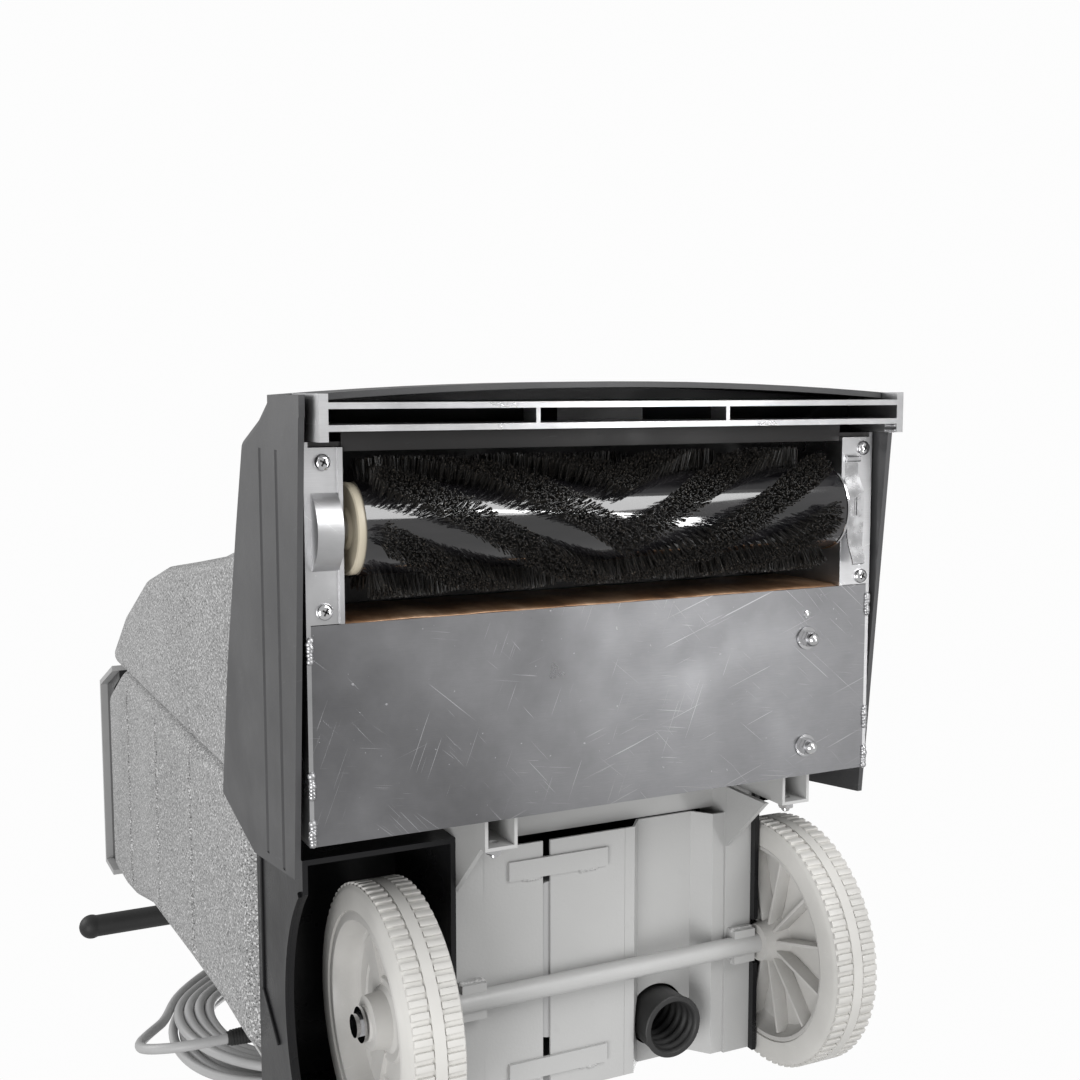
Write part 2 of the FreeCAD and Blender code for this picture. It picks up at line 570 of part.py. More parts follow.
def recovery_lid():
    """A clear lid on a gasket over the mouth, with a hinge along its upper edge."""
    gasket = rod_on_slope("gasket_ring", 43, 0, 2)
    node(cut("lid_gasket", gasket, [rod_on_slope("gasket_hole", 36, -1, 4)]))
    middle, uphill, normal = slope_frame()
    hinge = middle.add(Vector(uphill).multiply(52)).add(Vector(normal).multiply(9))
    blank = rod_on_slope("lid_blank", size("lid_rad"), 2.3, 7)
    lug = doc.addObject("Part::Box", "lid_lug")
    lug.Length, lug.Width, lug.Height = 40, 18, 6
    turn = FreeCAD.Rotation(Vector(1, 0, 0), math.degrees(math.atan2(uphill.z, uphill.y)))
    corner = middle.add(Vector(uphill).multiply(35)).add(Vector(normal).multiply(6))
    lug.Placement = FreeCAD.Placement(corner.add(Vector(-20, 0, 0)), turn)
    barrel = rod("lid_barrel", "X", ("-20", hinge.y, hinge.z), "40", "5")
    node(cut("recovery_lid", fuse("lid_solid", [blank, lug, barrel]),
             [rod("lid_bore", "X", ("-21", hinge.y, hinge.z), "42", "3.05")]))
    PINS.append(rod("lid_hinge_pin", "X", ("-28", hinge.y, hinge.z), "56", "3"))
    ears = []
    for number, x in enumerate((-28, 22)):
        ear = doc.addObject("Part::Box", "ear_blank_%d" % number)
        ear.Length, ear.Width, ear.Height = 6, 12, 13.5
        spot = middle.add(Vector(uphill).multiply(46)).add(Vector(x, 0, 0))
        ear.Placement = FreeCAD.Placement(spot.add(Vector(normal).multiply(0.5)), turn)
        ears.append(cut("lid_ear_%d" % number, ear, [rod("ear_bore_%d" % number, "X", (str(x - 1), hinge.y, hinge.z),
                                                         "8", "3")]))
    together("lid_hinge_ears", ears)


def console():
    top = "console_top - cover_thick - 0.2"
    body = [(-24, 832), (-15, 832), (4, 872.3), (226, 872.3), (226, 918.8), (8, 918.8)]
    blank = prism("console_blank", body, "2 * (tank_half - 8)")
    holes = []
    room = box("console_room", ("-206", "206"), ("14", "220"), ("870", "console_top - 11"))
    for number, x in enumerate((-60, 0, 60)):
        holes.append(box("switch_hole_%d" % number, (x - 8, x + 8), ("switch_y - 12.6", "switch_y + 12.6"),
                         ("900", "930")))
    holes.append(rod("neck_hole", "Z", ("neck_x", "neck_y", "860"), "80", "neck_rad + 4"))
    node(cut("console_body", blank, [room] + holes))
    cover = [(-24.4, 832), (7.8, 919), (226.2, 919), (226.2, 870), (232, 870), (232, 925), (3.8, 925), (-30.5, 832)]
    sheet_piece = prism("cover_blank", cover, "2 * tank_half")
    again = [box("cover_switch_%d" % number, (x - 8, x + 8), ("switch_y - 12.6", "switch_y + 12.6"), ("900", "930"))
             for number, x in enumerate((-60, 0, 60))]
    again.append(rod("cover_neck", "Z", ("neck_x", "neck_y", "860"), "80", "neck_rad + 4"))
    node(cut("console_cover", sheet_piece, again))
    for number, name in enumerate(("vacuum_switch", "brush_switch", "pump_switch")):
        x = -60 + 60 * number
        rocker = [(178.9, 915), (201.1, 915), (201.1, 928), (190, 925), (178.9, 929.5)]
        pivot = rod(name + "_pivot", "X", (str(x - 7.9), "switch_y", "920"), "15.8", "2")
        node(fuse(name, [prism(name + "_rocker", rocker, "15", str(x)), pivot]))
    node(rod("pressure_gauge", "Z", ("-120", "150", "console_top"), "9", "26"))
    cap = rod("cap_outside", "Z", ("neck_x", "neck_y", "console_top + 0.5"), "24", "neck_rad + 8")
    node(cut("solution_cap", cap, [rod("cap_inside", "Z", ("neck_x", "neck_y", "console_top"), "17",
                                       "neck_rad + 0.5")]))


def handle():
    outline = [(232.2, 874), (232.2, 912), (318, 990), (344, 990), (355, 975), (344, 957), (326, 955)]
    brackets, grips = [], []
    hole_at = ("bar_y", "bar_z")
    for side, sign in (("left", "-"), ("right", "")):
        blank = prism(side + "_bracket_blank", outline, "8", sign + "108")
        hole = rod(side + "_bracket_hole", "X", (sign + "108 - 6", *hole_at), "12", "bar_rad")
        brackets.append(cut(side + "_handle_bracket", blank, [hole]))
    node(tube("handle_bar", "X", ("-grip_tip + 14", *hole_at), "2 * (grip_tip - 14)", "bar_rad", "bar_rad - 2"))
    for side in ("right", "left"):
        sleeve = rod(side + "_sleeve", "X", ("grip_start", *hole_at), "grip_tip - grip_start - 12", "grip_rad")
        bulb = ball(side + "_bulb", ("grip_tip - 15", *hole_at), "15")
        bore = rod(side + "_grip_bore", "X", ("grip_start - 1", *hole_at), "grip_tip - grip_start - 13", "bar_rad")
        grips.append(cut(side + "_grip", fuse(side + "_grip_blank", [sleeve, bulb]), [bore]))
    put(grips[1], ("0", "2 * bar_y", "0"), FreeCAD.Rotation(Vector(0, 0, 1), 180))
    together("handle_grips", grips)
    for number, x in enumerate(("-42", "38")):
        plate = prism("cheek_blank_%d" % number, [(308, 942), (344, 942), (355, 975), (344, 990), (324, 990),
                                                  (308, 957)], "4", x + " + 2")
        holes = [rod("cheek_bar_hole_%d" % number, "X", (x + " - 1", *hole_at), "6", "bar_rad"),
                 rod("cheek_pin_hole_%d" % number, "X", (x + " - 1", "317", "950"), "6", "3")]
        brackets.append(cut("lever_cheek_%d" % number, plate, holes))
    together("handle_brackets", brackets)
    PINS.append(rod("lever_pin", "X", ("-42", "317", "950"), "84", "3"))
    paddle = prism("paddle", [(317, 944.5), (344, 940), (344, 944), (320, 949.5)], "70")
    barrel = rod("lever_barrel", "X", ("-35", "317", "950"), "70", "6")
    node(cut("spray_lever", fuse("lever_blank", [paddle, barrel]),
             [rod("lever_bore", "X", ("-36", "317", "950"), "72", "3.05")]))


# ---------------------------------------------------------------- motor bay and rear
def motor_bay():
    lower = rod("fan_case", "Z", ("-5", "95", "panel_base + panel_thick"), "62", "64")
    upper = rod("field_case", "Z", ("-5", "95", "panel_base + panel_thick + 62"), "44", "46")
    node(fuse("vacuum_motor", [lower, upper]))
    pump_body = box("pump_body", ("78", "140"), ("12", "88"), ("129", "185"))
    pump_head = rod("pump_head", "Y", ("109", "88", "157"), "28", "22")
    node(fuse("spray_pump", [pump_body, pump_head]))


def rear():
    plate = box("rear_blank", ("-200", "200"), ("shell_rear", "panel_rear"), ("rail_base + rail_tall", "640"))
    notch = box("rear_slot", ("150", "172"), ("shell_rear - 1", "panel_rear + 1"), ("300", "306"))
    node(cut("rear_panel", plate, [notch]))
    node(box("wiring_box", ("-160", "-60"), ("panel_rear", "relief_y + 15"), ("relief_z - 35", "relief_z + 35")))
    back = box("hook_back", ("coil_x - 30", "coil_x + 30"), ("panel_rear", "panel_rear + 5"),
               ("coil_z + coil_inner - 30", "coil_z + coil_inner + 30"))
    arm = box("hook_arm", ("coil_x - 30", "coil_x + 30"), ("panel_rear", "coil_y + coil_deep / 2 + 14"),
              ("coil_z + coil_inner - 14", "coil_z + coil_inner - 6"))
    lip = box("hook_lip", ("coil_x - 30", "coil_x + 30"),
              ("coil_y + coil_deep / 2 + 6", "coil_y + coil_deep / 2 + 14"),
              ("coil_z + coil_inner - 14", "coil_z + coil_inner + 34"))
    upper = fuse("upper_cord_hook", [back, arm, lip])
    low = "coil_z - coil_inner + 8"
    socket = tube("hook_socket", "Y", ("coil_x + 70", "panel_rear", low + " + 33"), "16", "12", "7.05")
    together("cord_hook_mounts", [upper, socket])
    shaft = rod("lower_hook_shaft", "Y", ("coil_x + 70", "panel_rear + 0.5", low + " + 33"),
                "coil_y + coil_deep / 2 + 12 - panel_rear - 0.5", "7")
    tip = box("lower_hook_tip", ("coil_x + 63", "coil_x + 77"), ("coil_y + coil_deep / 2 + 4",
                                                                "coil_y + coil_deep / 2 + 12"),
              (low + " - 7", low + " + 33"))
    node(fuse("lower_cord_hook", [shaft, tip]))


# ---------------------------------------------------------------- cord
CORD_ROUTE = [(-210, 223, 360), (-230, 223, 360), (-252, 225, 366), (-269, 230, 382), (-277, 237, 403),
              (-275, 243, 426), (-266, 248, 447.5), (-254, 251, 467), (-240, 252, 484)]


def cord_path(points):
    """Straight runs joined by tangent arcs, each as large as its two runs allow."""
    corners = [Vector(*point) for point in points]
    edges, start = [], corners[0]
    for before, corner, after in zip(corners, corners[1:], corners[2:]):
        back, ahead = before.sub(corner), after.sub(corner)
        shorter = min(back.Length, ahead.Length)
        turn = math.pi - back.getAngle(ahead)
        reach = 0.45 * shorter
        print("cord bend radius %.1f" % (reach / math.tan(turn / 2)))
        enter = corner.add(back.normalize().multiply(reach))
        leave = corner.add(ahead.normalize().multiply(reach))
        middle = enter.add(leave).multiply(0.5)
        height = corner.sub(middle)
        radius = reach / math.tan(turn / 2)
        peak = corner.sub(height.normalize().multiply(radius / math.cos(turn / 2) - radius))
        edges.append(Part.LineSegment(start, enter).toShape())
        edges.append(Part.Arc(enter, peak, leave).toShape())
        start = leave
    edges.append(Part.LineSegment(start, corners[-1]).toShape())
    return Part.Wire(edges)


def cord():
    boot = taper("boot", "X", ("relief_tip", "relief_y", "relief_z"), "-160 - relief_tip", "6", "8.5")
    rings = [rod("boot_ring_%d" % number, "X", ("relief_tip + %.1f" % (3 + 2.6 * number), "relief_y", "relief_z"),
                 "1.4", "%.2f" % (7 + 0.12 * number)) for number in range(16)]
    node(fuse("strain_relief", [boot] + rings))
    path = cord_path(CORD_ROUTE)
    circle = Part.Wire(Part.Circle(Vector(*CORD_ROUTE[0]), path.Edges[0].tangentAt(0), size("cord_rad")).toShape())
    swept = path.makePipeShell([circle], True, False)
    print("cord volume ratio %.4f" % (swept.Volume / (math.pi * size("cord_rad") ** 2 * path.Length)))
    lead = doc.addObject("Part::Feature", "cord_lead")
    lead.Label = "cord_lead"
    lead.Shape = swept
    node(tube("cord_coil", "Y", ("coil_x", "coil_y - coil_deep / 2", "coil_z"), "coil_deep", "coil_outer", "coil_inner"))
    together("power_cord", [lead, rod("cord_tail", "Z", ("tail_x", "tail_y", "392"), "54", "cord_rad")])
    cap = taper("plug_grip", "Z", ("tail_x", "tail_y", "352"), "40", "15", "8")
    face = rod("plug_face", "Z", ("tail_x", "tail_y", "340"), "12", "17")
    blades = [box("blade_%d" % number, (x, x + " + 1.6"), ("tail_y - 3.2", "tail_y + 3.2"), ("322", "341"))
              for number, x in enumerate(("tail_x - 7", "tail_x + 5.4"))]
    blades.append(rod("earth_pin", "Z", ("tail_x", "tail_y + 9", "322"), "19", "2.4"))
    node(fuse("cord_plug", [cap, face] + blades))


head()
shoe()
brush_ends()
brush()
drive()
hood()
pan_fixings()
chassis()
wheel("left", True)
wheel("right", False)
base_shell()
tanks()
recovery_lid()
console()
handle()
motor_bay()
rear()
cord()
together("hinge_pins", PINS)
doc.recompute()

for obj in doc.Objects:
    if {"Invalid", "Error"} & set(obj.State):
        raise RuntimeError("%s did not compute" % obj.Label)
os.makedirs("parts", exist_ok=True)
for obj in NODES:
    shape = obj.Shape
    if shape.isNull() or not shape.isValid() or not shape.Solids:
        raise RuntimeError("%s has no valid solid" % obj.Label)
    shape.exportStep(os.path.join("parts", obj.Label + ".step"))
whole = Part.makeCompound([obj.Shape for obj in NODES]).BoundBox
print(len(NODES), "nodes;", "X %.1f %.1f  Y %.1f %.1f  Z %.1f %.1f" % (
    whole.XMin, whole.XMax, whole.YMin, whole.YMax, whole.ZMin, whole.ZMax))
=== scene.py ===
import json
import math
import random

import bmesh
import bpy
from mathutils import Matrix, Vector


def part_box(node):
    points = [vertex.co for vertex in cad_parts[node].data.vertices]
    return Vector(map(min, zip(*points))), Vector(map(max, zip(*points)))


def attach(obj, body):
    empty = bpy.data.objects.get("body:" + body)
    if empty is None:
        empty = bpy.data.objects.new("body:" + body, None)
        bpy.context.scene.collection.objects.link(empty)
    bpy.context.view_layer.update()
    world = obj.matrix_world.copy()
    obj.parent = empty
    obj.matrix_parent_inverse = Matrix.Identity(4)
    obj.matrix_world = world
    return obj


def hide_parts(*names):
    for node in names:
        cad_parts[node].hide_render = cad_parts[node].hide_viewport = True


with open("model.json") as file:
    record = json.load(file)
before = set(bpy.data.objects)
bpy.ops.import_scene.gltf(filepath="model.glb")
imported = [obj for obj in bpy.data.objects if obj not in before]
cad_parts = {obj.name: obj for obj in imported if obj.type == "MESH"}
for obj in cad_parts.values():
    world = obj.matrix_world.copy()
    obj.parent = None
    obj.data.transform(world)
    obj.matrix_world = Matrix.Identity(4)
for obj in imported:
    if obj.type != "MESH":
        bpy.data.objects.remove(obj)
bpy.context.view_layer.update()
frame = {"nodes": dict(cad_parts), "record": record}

MM = 0.001
FULL_TURN = 2 * math.pi
SHARP_EDGE = math.radians(35)
TYRE_RADIUS = 0.1016
AXLE_BORE = 0.00805
SHAFT_BORE = 0.0081
LATCH_X = 0.208
POST_X = (-0.086, 0.169)
FIBRES = 15
rng = random.Random(11)


# ------------------------------------------------------------------ camera, light and floor
def make_camera():
    """The view from below and in front, looking up at the underside."""
    right = Vector((0.8968, 0.00106, -0.44243))
    up = Vector((0.04767, -0.99441, 0.09425))
    back = right.cross(up)
    camera = bpy.data.objects.new("camera", bpy.data.cameras.new("camera"))
    rows = [(right[i], up[i], back[i], place) for i, place in enumerate((-0.4923, -0.3492, -0.8411))]
    camera.matrix_world = Matrix(rows + [(0, 0, 0, 1)])
    camera.data.lens = 47.17
    camera.data.sensor_width = 36
    camera.data.clip_start = 0.01
    bpy.context.collection.objects.link(camera)
    bpy.context.scene.camera = camera


def area_light(name, place, aim, size, power, depth=None):
    """A square light of a size, or a strip if it has a depth, that points from a place at an aim."""
    light = bpy.data.lights.new(name, "AREA")
    light.energy = power
    light.shape = "RECTANGLE"
    light.size = size
    light.size_y = depth or size
    holder = bpy.data.objects.new(name, light)
    holder.location = place
    holder.rotation_euler = (Vector(aim) - Vector(place)).to_track_quat("-Z", "Y").to_euler()
    bpy.context.collection.objects.link(holder)


def make_stage():
    """A pale floor, seen from above only, white surroundings and soft lights above and below."""
    reach = 6
    corners = [(-reach, -reach, 0), (reach, -reach, 0), (reach, reach, 0), (-reach, reach, 0)]
    mesh = bpy.data.meshes.new("floor")
    mesh.from_pydata(corners, [], [(0, 1, 2, 3)])
    floor = bpy.data.objects.new("floor", mesh)
    bpy.context.collection.objects.link(floor)
    paint = bpy.data.materials.new("floor_paint")
    paint.use_nodes = True
    nodes, links = paint.node_tree.nodes, paint.node_tree.links
    shader = nodes["Principled BSDF"]
    shader.inputs["Base Color"].default_value = (0.6, 0.6, 0.6, 1)
    shader.inputs["Roughness"].default_value = 0.9
    shader.inputs["Emission Color"].default_value = (1, 1, 1, 1)
    shader.inputs["Emission Strength"].default_value = 0.3
    clear = nodes.new("ShaderNodeBsdfTransparent")
    mix = nodes.new("ShaderNodeMixShader")
    links.new(nodes.new("ShaderNodeNewGeometry").outputs["Backfacing"], mix.inputs[0])
    links.new(shader.outputs[0], mix.inputs[1])
    links.new(clear.outputs[0], mix.inputs[2])
    links.new(mix.outputs[0], nodes["Material Output"].inputs[0])
    mesh.materials.append(paint)
    floor.visible_shadow = floor.visible_glossy = floor.visible_diffuse = False
    world = bpy.data.worlds.new("surroundings")
    bpy.context.scene.world = world
    world.use_nodes = True
    nodes, links = world.node_tree.nodes, world.node_tree.links
    sky = nodes["Background"]
    sky.inputs[0].default_value = (1, 1, 1, 1)
    sky.inputs[1].default_value = 0.5
    seen = nodes.new("ShaderNodeBackground")
    seen.inputs[0].default_value = (1, 1, 1, 1)
    seen.inputs[1].default_value = 0.98
    mix = nodes.new("ShaderNodeMixShader")
    links.new(nodes.new("ShaderNodeLightPath").outputs["Is Camera Ray"], mix.inputs[0])
    links.new(sky.outputs[0], mix.inputs[1])
    links.new(seen.outputs[0], mix.inputs[2])
    links.new(mix.outputs[0], nodes["World Output"].inputs[0])
    area_light("under_left", (-1.6, 0.3, -1.3), (0, -0.1, 0.2), 1.2, 26)
    area_light("under_front", (0.6, -1.3, -1.2), (0, -0.1, 0.1), 1.0, 13)
    area_light("under_strip", (0.5, -0.38, -0.85), (0.1, -0.258, 0.05), 1.3, 3.4, 0.045)
    area_light("over_left", (-1.8, -0.9, 1.8), (0, 0, 0.5), 1.3, 20)
    area_light("over_right", (1.6, 1.2, 1.9), (0, 0, 0.5), 1.3, 24)
    bpy.context.scene.view_settings.view_transform = "Standard"


# ------------------------------------------------------------------ materials
class Paint:
    """A procedural material: a Principled shader with helpers that add texture to its inputs."""

    def __init__(self, name, color, roughness, metallic=0.0, **constants):
        self.material = bpy.data.materials.new(name)
        self.material.use_nodes = True
        self.nodes, self.links = self.material.node_tree.nodes, self.material.node_tree.links
        self.shader = self.nodes["Principled BSDF"]
        self.shader.inputs["Base Color"].default_value = (*color, 1)
        self.shader.inputs["Roughness"].default_value = roughness
        self.shader.inputs["Metallic"].default_value = metallic
        for socket, value in constants.items():
            self.shader.inputs[socket.replace("_", " ")].default_value = value
        self.place = self.nodes.new("ShaderNodeTexCoord").outputs["Object"]
        self.height = None

    def mapped(self, stretch, turn):
        """Object coordinates, turned first and then stretched, so that streaks follow the turn."""
        place = self.place
        for socket, value in (("Rotation", turn), ("Scale", stretch)):
            node = self.nodes.new("ShaderNodeMapping")
            node.inputs[socket].default_value = value
            self.links.new(place, node.inputs[0])
            place = node.outputs[0]
        return place

    def noise(self, scale, detail=3, stretch=(1, 1, 1), turn=(0, 0, 0), rough=0.5):
        """Noise on the object's own coordinates; a larger stretch packs it tighter along that axis."""
        node = self.nodes.new("ShaderNodeTexNoise")
        node.inputs["Scale"].default_value = scale
        node.inputs["Detail"].default_value = detail
        node.inputs["Roughness"].default_value = rough
        self.links.new(self.mapped(stretch, turn), node.inputs["Vector"])
        return node.outputs["Fac"]

    def ramp(self, value, *stops):
        """Maps a value through (position, grey or colour) stops."""
        node = self.nodes.new("ShaderNodeValToRGB")
        bar = node.color_ramp
        while len(bar.elements) < len(stops):
            bar.elements.new(0.5)
        for element, (position, shade) in zip(bar.elements, stops):
            element.position = position
            element.color = (*shade, 1) if hasattr(shade, "__len__") else (shade, shade, shade, 1)
        self.links.new(value, node.inputs[0])
        return node.outputs[0]

    def mix(self, factor, first, second, mode="MIX"):
        """Mixes two colours; each input is a socket, a colour or a number."""
        node = self.nodes.new("ShaderNodeMix")
        node.data_type = "RGBA"
        node.blend_type = mode
        for socket, value in ((node.inputs[0], factor), (node.inputs[6], first), (node.inputs[7], second)):
            if hasattr(value, "is_linked"):
                self.links.new(value, socket)
            elif hasattr(value, "__len__"):
                socket.default_value = (*value, 1)
            else:
                socket.default_value = value
        return node.outputs[2]

    def color(self, value):
        self.links.new(value, self.shader.inputs["Base Color"])
        return self

    def rough(self, value):
        self.links.new(value, self.shader.inputs["Roughness"])
        return self

    def bump(self, value, distance, strength=0.5):
        """Adds relief on top of the relief that is already there."""
        node = self.nodes.new("ShaderNodeBump")
        node.inputs["Strength"].default_value = strength
        node.inputs["Distance"].default_value = distance
        self.links.new(value, node.inputs["Height"])
        if self.height:
            self.links.new(self.height, node.inputs["Normal"])
        self.height = node.outputs[0]
        self.links.new(self.height, self.shader.inputs["Normal"])
        return self


def tinted(shade, share):
    """A colour times a share, no brighter than white."""
    return tuple(min(1, channel * share) for channel in shade)


def granite():
    """Rotomoulded plastic: mid grey with fine dark and light speckle and a pebbled skin."""
    paint = Paint("granite", (0.33, 0.33, 0.33), 0.55)
    dark = paint.ramp(paint.noise(620, 2), (0.38, 0.0), (0.45, 1.0))
    light = paint.ramp(paint.noise(520, 2, turn=(1, 2, 3)), (0.55, 0.0), (0.63, 1.0))
    cloud = paint.ramp(paint.noise(5, 3), (0.3, (0.27, 0.27, 0.27)), (0.7, (0.34, 0.34, 0.34)))
    speckled = paint.mix(dark, (0.06, 0.06, 0.06), cloud)
    speckled = paint.mix(light, speckled, (0.68, 0.68, 0.68))
    paint.color(speckled).rough(paint.ramp(paint.noise(30), (0.3, 0.42), (0.7, 0.6)))
    paint.bump(paint.noise(420, 3), 0.0005, 0.4).bump(paint.noise(14, 2), 0.004, 0.15)
    return paint.material


def moulded(name, shade, roughness, grain=700, scuffs=0.03):
    """Injection or vacuum moulded plastic with a fine grain, faint clouding and scuffs."""
    paint = Paint(name, shade, roughness)
    cloud = paint.ramp(paint.noise(9, 4), (0.3, tinted(shade, 0.82)), (0.7, tinted(shade, 1.15)))
    scratch = paint.ramp(paint.noise(60, 4, (1, 9, 1), (0.3, 0.5, 0.2)), (0.68, 0.0), (0.76, 1.0))
    paint.color(paint.mix(scratch, cloud, tuple(min(1, channel + scuffs) for channel in shade)))
    paint.rough(paint.ramp(paint.noise(22, 3), (0.3, roughness * 0.82), (0.7, min(1, roughness * 1.2))))
    paint.bump(paint.noise(grain, 2), 0.0003, 0.35)
    return paint.material


def powder_coat(name, shade):
    """Painted steel with faint clouding and patches of grime."""
    paint = Paint(name, shade, 0.42)
    cloud = paint.ramp(paint.noise(7, 4), (0.3, tinted(shade, 0.93)), (0.75, tinted(shade, 1.05)))
    grime = paint.ramp(paint.noise(16, 6, rough=0.7), (0.62, 0.0), (0.74, 0.35))
    paint.color(paint.mix(grime, cloud, tinted(shade, 0.72)))
    paint.rough(paint.ramp(paint.noise(40, 3), (0.3, 0.34), (0.7, 0.5)))
    paint.bump(paint.noise(420, 2), 0.0004, 0.3)
    return paint.material


def scratched_aluminium(name, shade, roughness, wear=1.0):
    """Mill finish sheet: fine drawn grain along X, stains, pits and hair scratches in several directions."""
    paint = Paint(name, shade, roughness, 1.0)
    stain = paint.noise(5, 6, rough=0.65)
    tone = paint.ramp(stain, (0.3, tinted(shade, 0.55)), (0.52, tinted(shade, 0.82)), (0.72, shade))
    grain = paint.noise(60, 3, (1, 30, 30))
    tone = paint.mix(paint.ramp(grain, (0.4, 0.0), (0.65, 0.3)), tone, tinted(shade, 0.72))
    scores = None
    for number, angle in enumerate((0.35, -0.7, 1.2, 2.3, -0.15)):
        turn = (0, 0, angle)
        line = paint.ramp(paint.noise(16 + 5 * number, 2, (0.5, 42, 1), turn), (0.7, 0.0), (0.72, 1.0))
        gate = paint.ramp(paint.noise(10 + 3 * number, 2, turn=turn), (0.52, 0.0), (0.62, wear))
        line = paint.mix(1.0, line, gate, "MULTIPLY")
        scores = line if scores is None else paint.mix(1.0, scores, line, "ADD")
    pits = paint.ramp(paint.noise(260, 2), (0.74, 0.0), (0.78, wear))
    scores = paint.mix(1.0, scores, pits, "ADD")
    paint.color(paint.mix(scores, tone, tinted(shade, 1.5)))
    paint.rough(paint.ramp(paint.noise(12, 5), (0.3, roughness * 0.75), (0.7, min(1, roughness * 1.45))))
    paint.bump(grain, 0.0003, 0.15).bump(scores, 0.0003, 0.2).bump(paint.noise(3, 2), 0.012, 0.1)
    return paint.material


def plated(name, shade, roughness):
    """Bright bare or plated metal, slightly clouded."""
    paint = Paint(name, shade, roughness, 1.0)
    paint.color(paint.ramp(paint.noise(60, 4), (0.3, tinted(shade, 0.75)), (0.7, shade)))
    paint.rough(paint.ramp(paint.noise(90, 3), (0.3, roughness * 0.6), (0.7, roughness * 1.6)))
    paint.bump(paint.noise(200, 2), 0.0002, 0.15)
    return paint.material


def brown_wall():
    """The splash sheet behind the brush, stained by water."""
    paint = Paint("stained_sheet", (0.4, 0.3, 0.22), 0.4, 0.6)
    stain = paint.noise(16, 6, (1, 1, 0.3), rough=0.7)
    dark, brown, pale = (0.09, 0.05, 0.03), (0.36, 0.2, 0.11), (0.72, 0.5, 0.34)
    paint.color(paint.ramp(stain, (0.3, dark), (0.48, brown), (0.68, pale)))
    paint.rough(paint.ramp(stain, (0.3, 0.25), (0.7, 0.5)))
    paint.bump(stain, 0.0006, 0.3)
    return paint.material


def gloss_core():
    """Polished black tube that mirrors the lights."""
    paint = Paint("core_gloss", (0.006, 0.006, 0.008), 0.07, Specular_IOR_Level=0.9, Coat_Weight=1.0,
                  Coat_Roughness=0.05)
    smear = paint.noise(18, 4, (1, 5, 5))
    paint.color(paint.ramp(smear, (0.35, (0.004, 0.004, 0.005)), (0.75, (0.02, 0.018, 0.02))))
    paint.rough(paint.ramp(smear, (0.3, 0.05), (0.75, 0.16)))
    return paint.material


def bristle_fibre():
    """Black nylon with a faint shine that differs from fibre to fibre."""
    paint = Paint("bristle_nylon", (0.012, 0.012, 0.012), 0.38)
    tint = paint.noise(900, 1)
    black, dark, dusty = (0.004, 0.004, 0.004), (0.02, 0.018, 0.016), (0.1, 0.08, 0.06)
    paint.color(paint.ramp(tint, (0.35, black), (0.62, dark), (0.75, dusty)))
    paint.rough(paint.ramp(tint, (0.3, 0.3), (0.7, 0.55)))
    return paint.material


def clear_plastic():
    """The see-through lid of the recovery tank."""
    paint = Paint("clear_lid", (0.75, 0.8, 0.82), 0.12, Alpha=0.45)
    paint.bump(paint.noise(50, 2), 0.0005, 0.1)
    return paint.material


make_camera()
make_stage()
GRANITE = granite()
HOOD = moulded("hood_plastic", (0.058, 0.058, 0.06), 0.42)
GLOSS = moulded("gloss_black", (0.02, 0.02, 0.021), 0.2, 260)
MATT = moulded("matt_black", (0.022, 0.022, 0.022), 0.5)
WARM = moulded("wheel_plastic", (0.56, 0.55, 0.53), 0.4, 500, 0.06)
TREAD = moulded("tyre_rubber", (0.6, 0.59, 0.565), 0.6, 420, 0.05)
CORD = moulded("cord_rubber", (0.46, 0.46, 0.46), 0.42, 600)
PAINTED = powder_coat("frame_paint", (0.47, 0.47, 0.465))
SHEET = scratched_aluminium("sheet_aluminium", (0.31, 0.31, 0.32), 0.36, 1.3)
BRIGHT = scratched_aluminium("bright_aluminium", (0.78, 0.78, 0.79), 0.3, 0.5)
CHROME = plated("chrome", (0.85, 0.85, 0.86), 0.1)
SPRING = plated("spring_steel", (0.72, 0.72, 0.73), 0.22)
BROWN = brown_wall()
CORE = gloss_core()
WELD = plated("weld_metal", (0.55, 0.55, 0.56), 0.36)
SHELL = moulded("shell_plastic", (0.011, 0.011, 0.012), 0.3, 260, 0.01)
SHELL.node_tree.nodes["Principled BSDF"].inputs["Specular IOR Level"].default_value = 0.3
FIBRE = bristle_fibre()
# Near-black plastic: painted shade for the chamber walls, top plate, duct and baffle and for the screw recess
# crosses, and the gauge needle's own black.
DARK = moulded("black_and_painted_shade", (0.012, 0.011, 0.011), 0.45, 300, 0.01)
CREAM = moulded("cream_plastic", (0.6, 0.54, 0.42), 0.4, 500, 0.05)
COVER = powder_coat("cover_paint", (0.42, 0.42, 0.42))
CLEAR = clear_plastic()
DIAL = moulded("dial_face", (0.8, 0.8, 0.78), 0.35, 400, 0.02)

SURFACES = {
    "granite": GRANITE, "hood_plastic": HOOD, "black_plastic": GLOSS, "grey_plastic": WARM,
    "tyre_rubber": TREAD, "frame_paint": PAINTED, "alu": SHEET, "steel": CHROME, "spring_steel": SPRING,
    "bristle": FIBRE, "core_plastic": CORE, "rubber": MATT, "cord_rubber": CORD, "clear": CLEAR,
    "motor_metal": COVER,
}
SLOTS = {part["node"]: part["material_slot"] for part in frame["record"]["subparts"]}
BODY = {node: body for body, nodes in frame["record"]["behaviour"]["bodies"].items() for node in nodes}


def dress(node, material):
    """Gives a CAD node a material."""
    piece = frame["nodes"][node]
    piece.data.materials.clear()
    piece.data.materials.append(material)


for node in frame["nodes"]:
    dress(node, SURFACES[SLOTS[node]])
for node in ("shoe_lips", "shoe_end_plates", "side_plates", "bearing_plates", "guard_flanges"):
    dress(node, BRIGHT)
# Painted shade: the walls, top plate and duct inside the head are dressed near black for the shade in the
# chamber.
for node in ("head_walls", "head_top_plate", "vacuum_duct"):
    dress(node, DARK)
dress("console_cover", COVER)
dress("base_shell", SHELL)
for node in ("strain_relief", "handle_grips", "cord_plug"):
    dress(node, MATT)


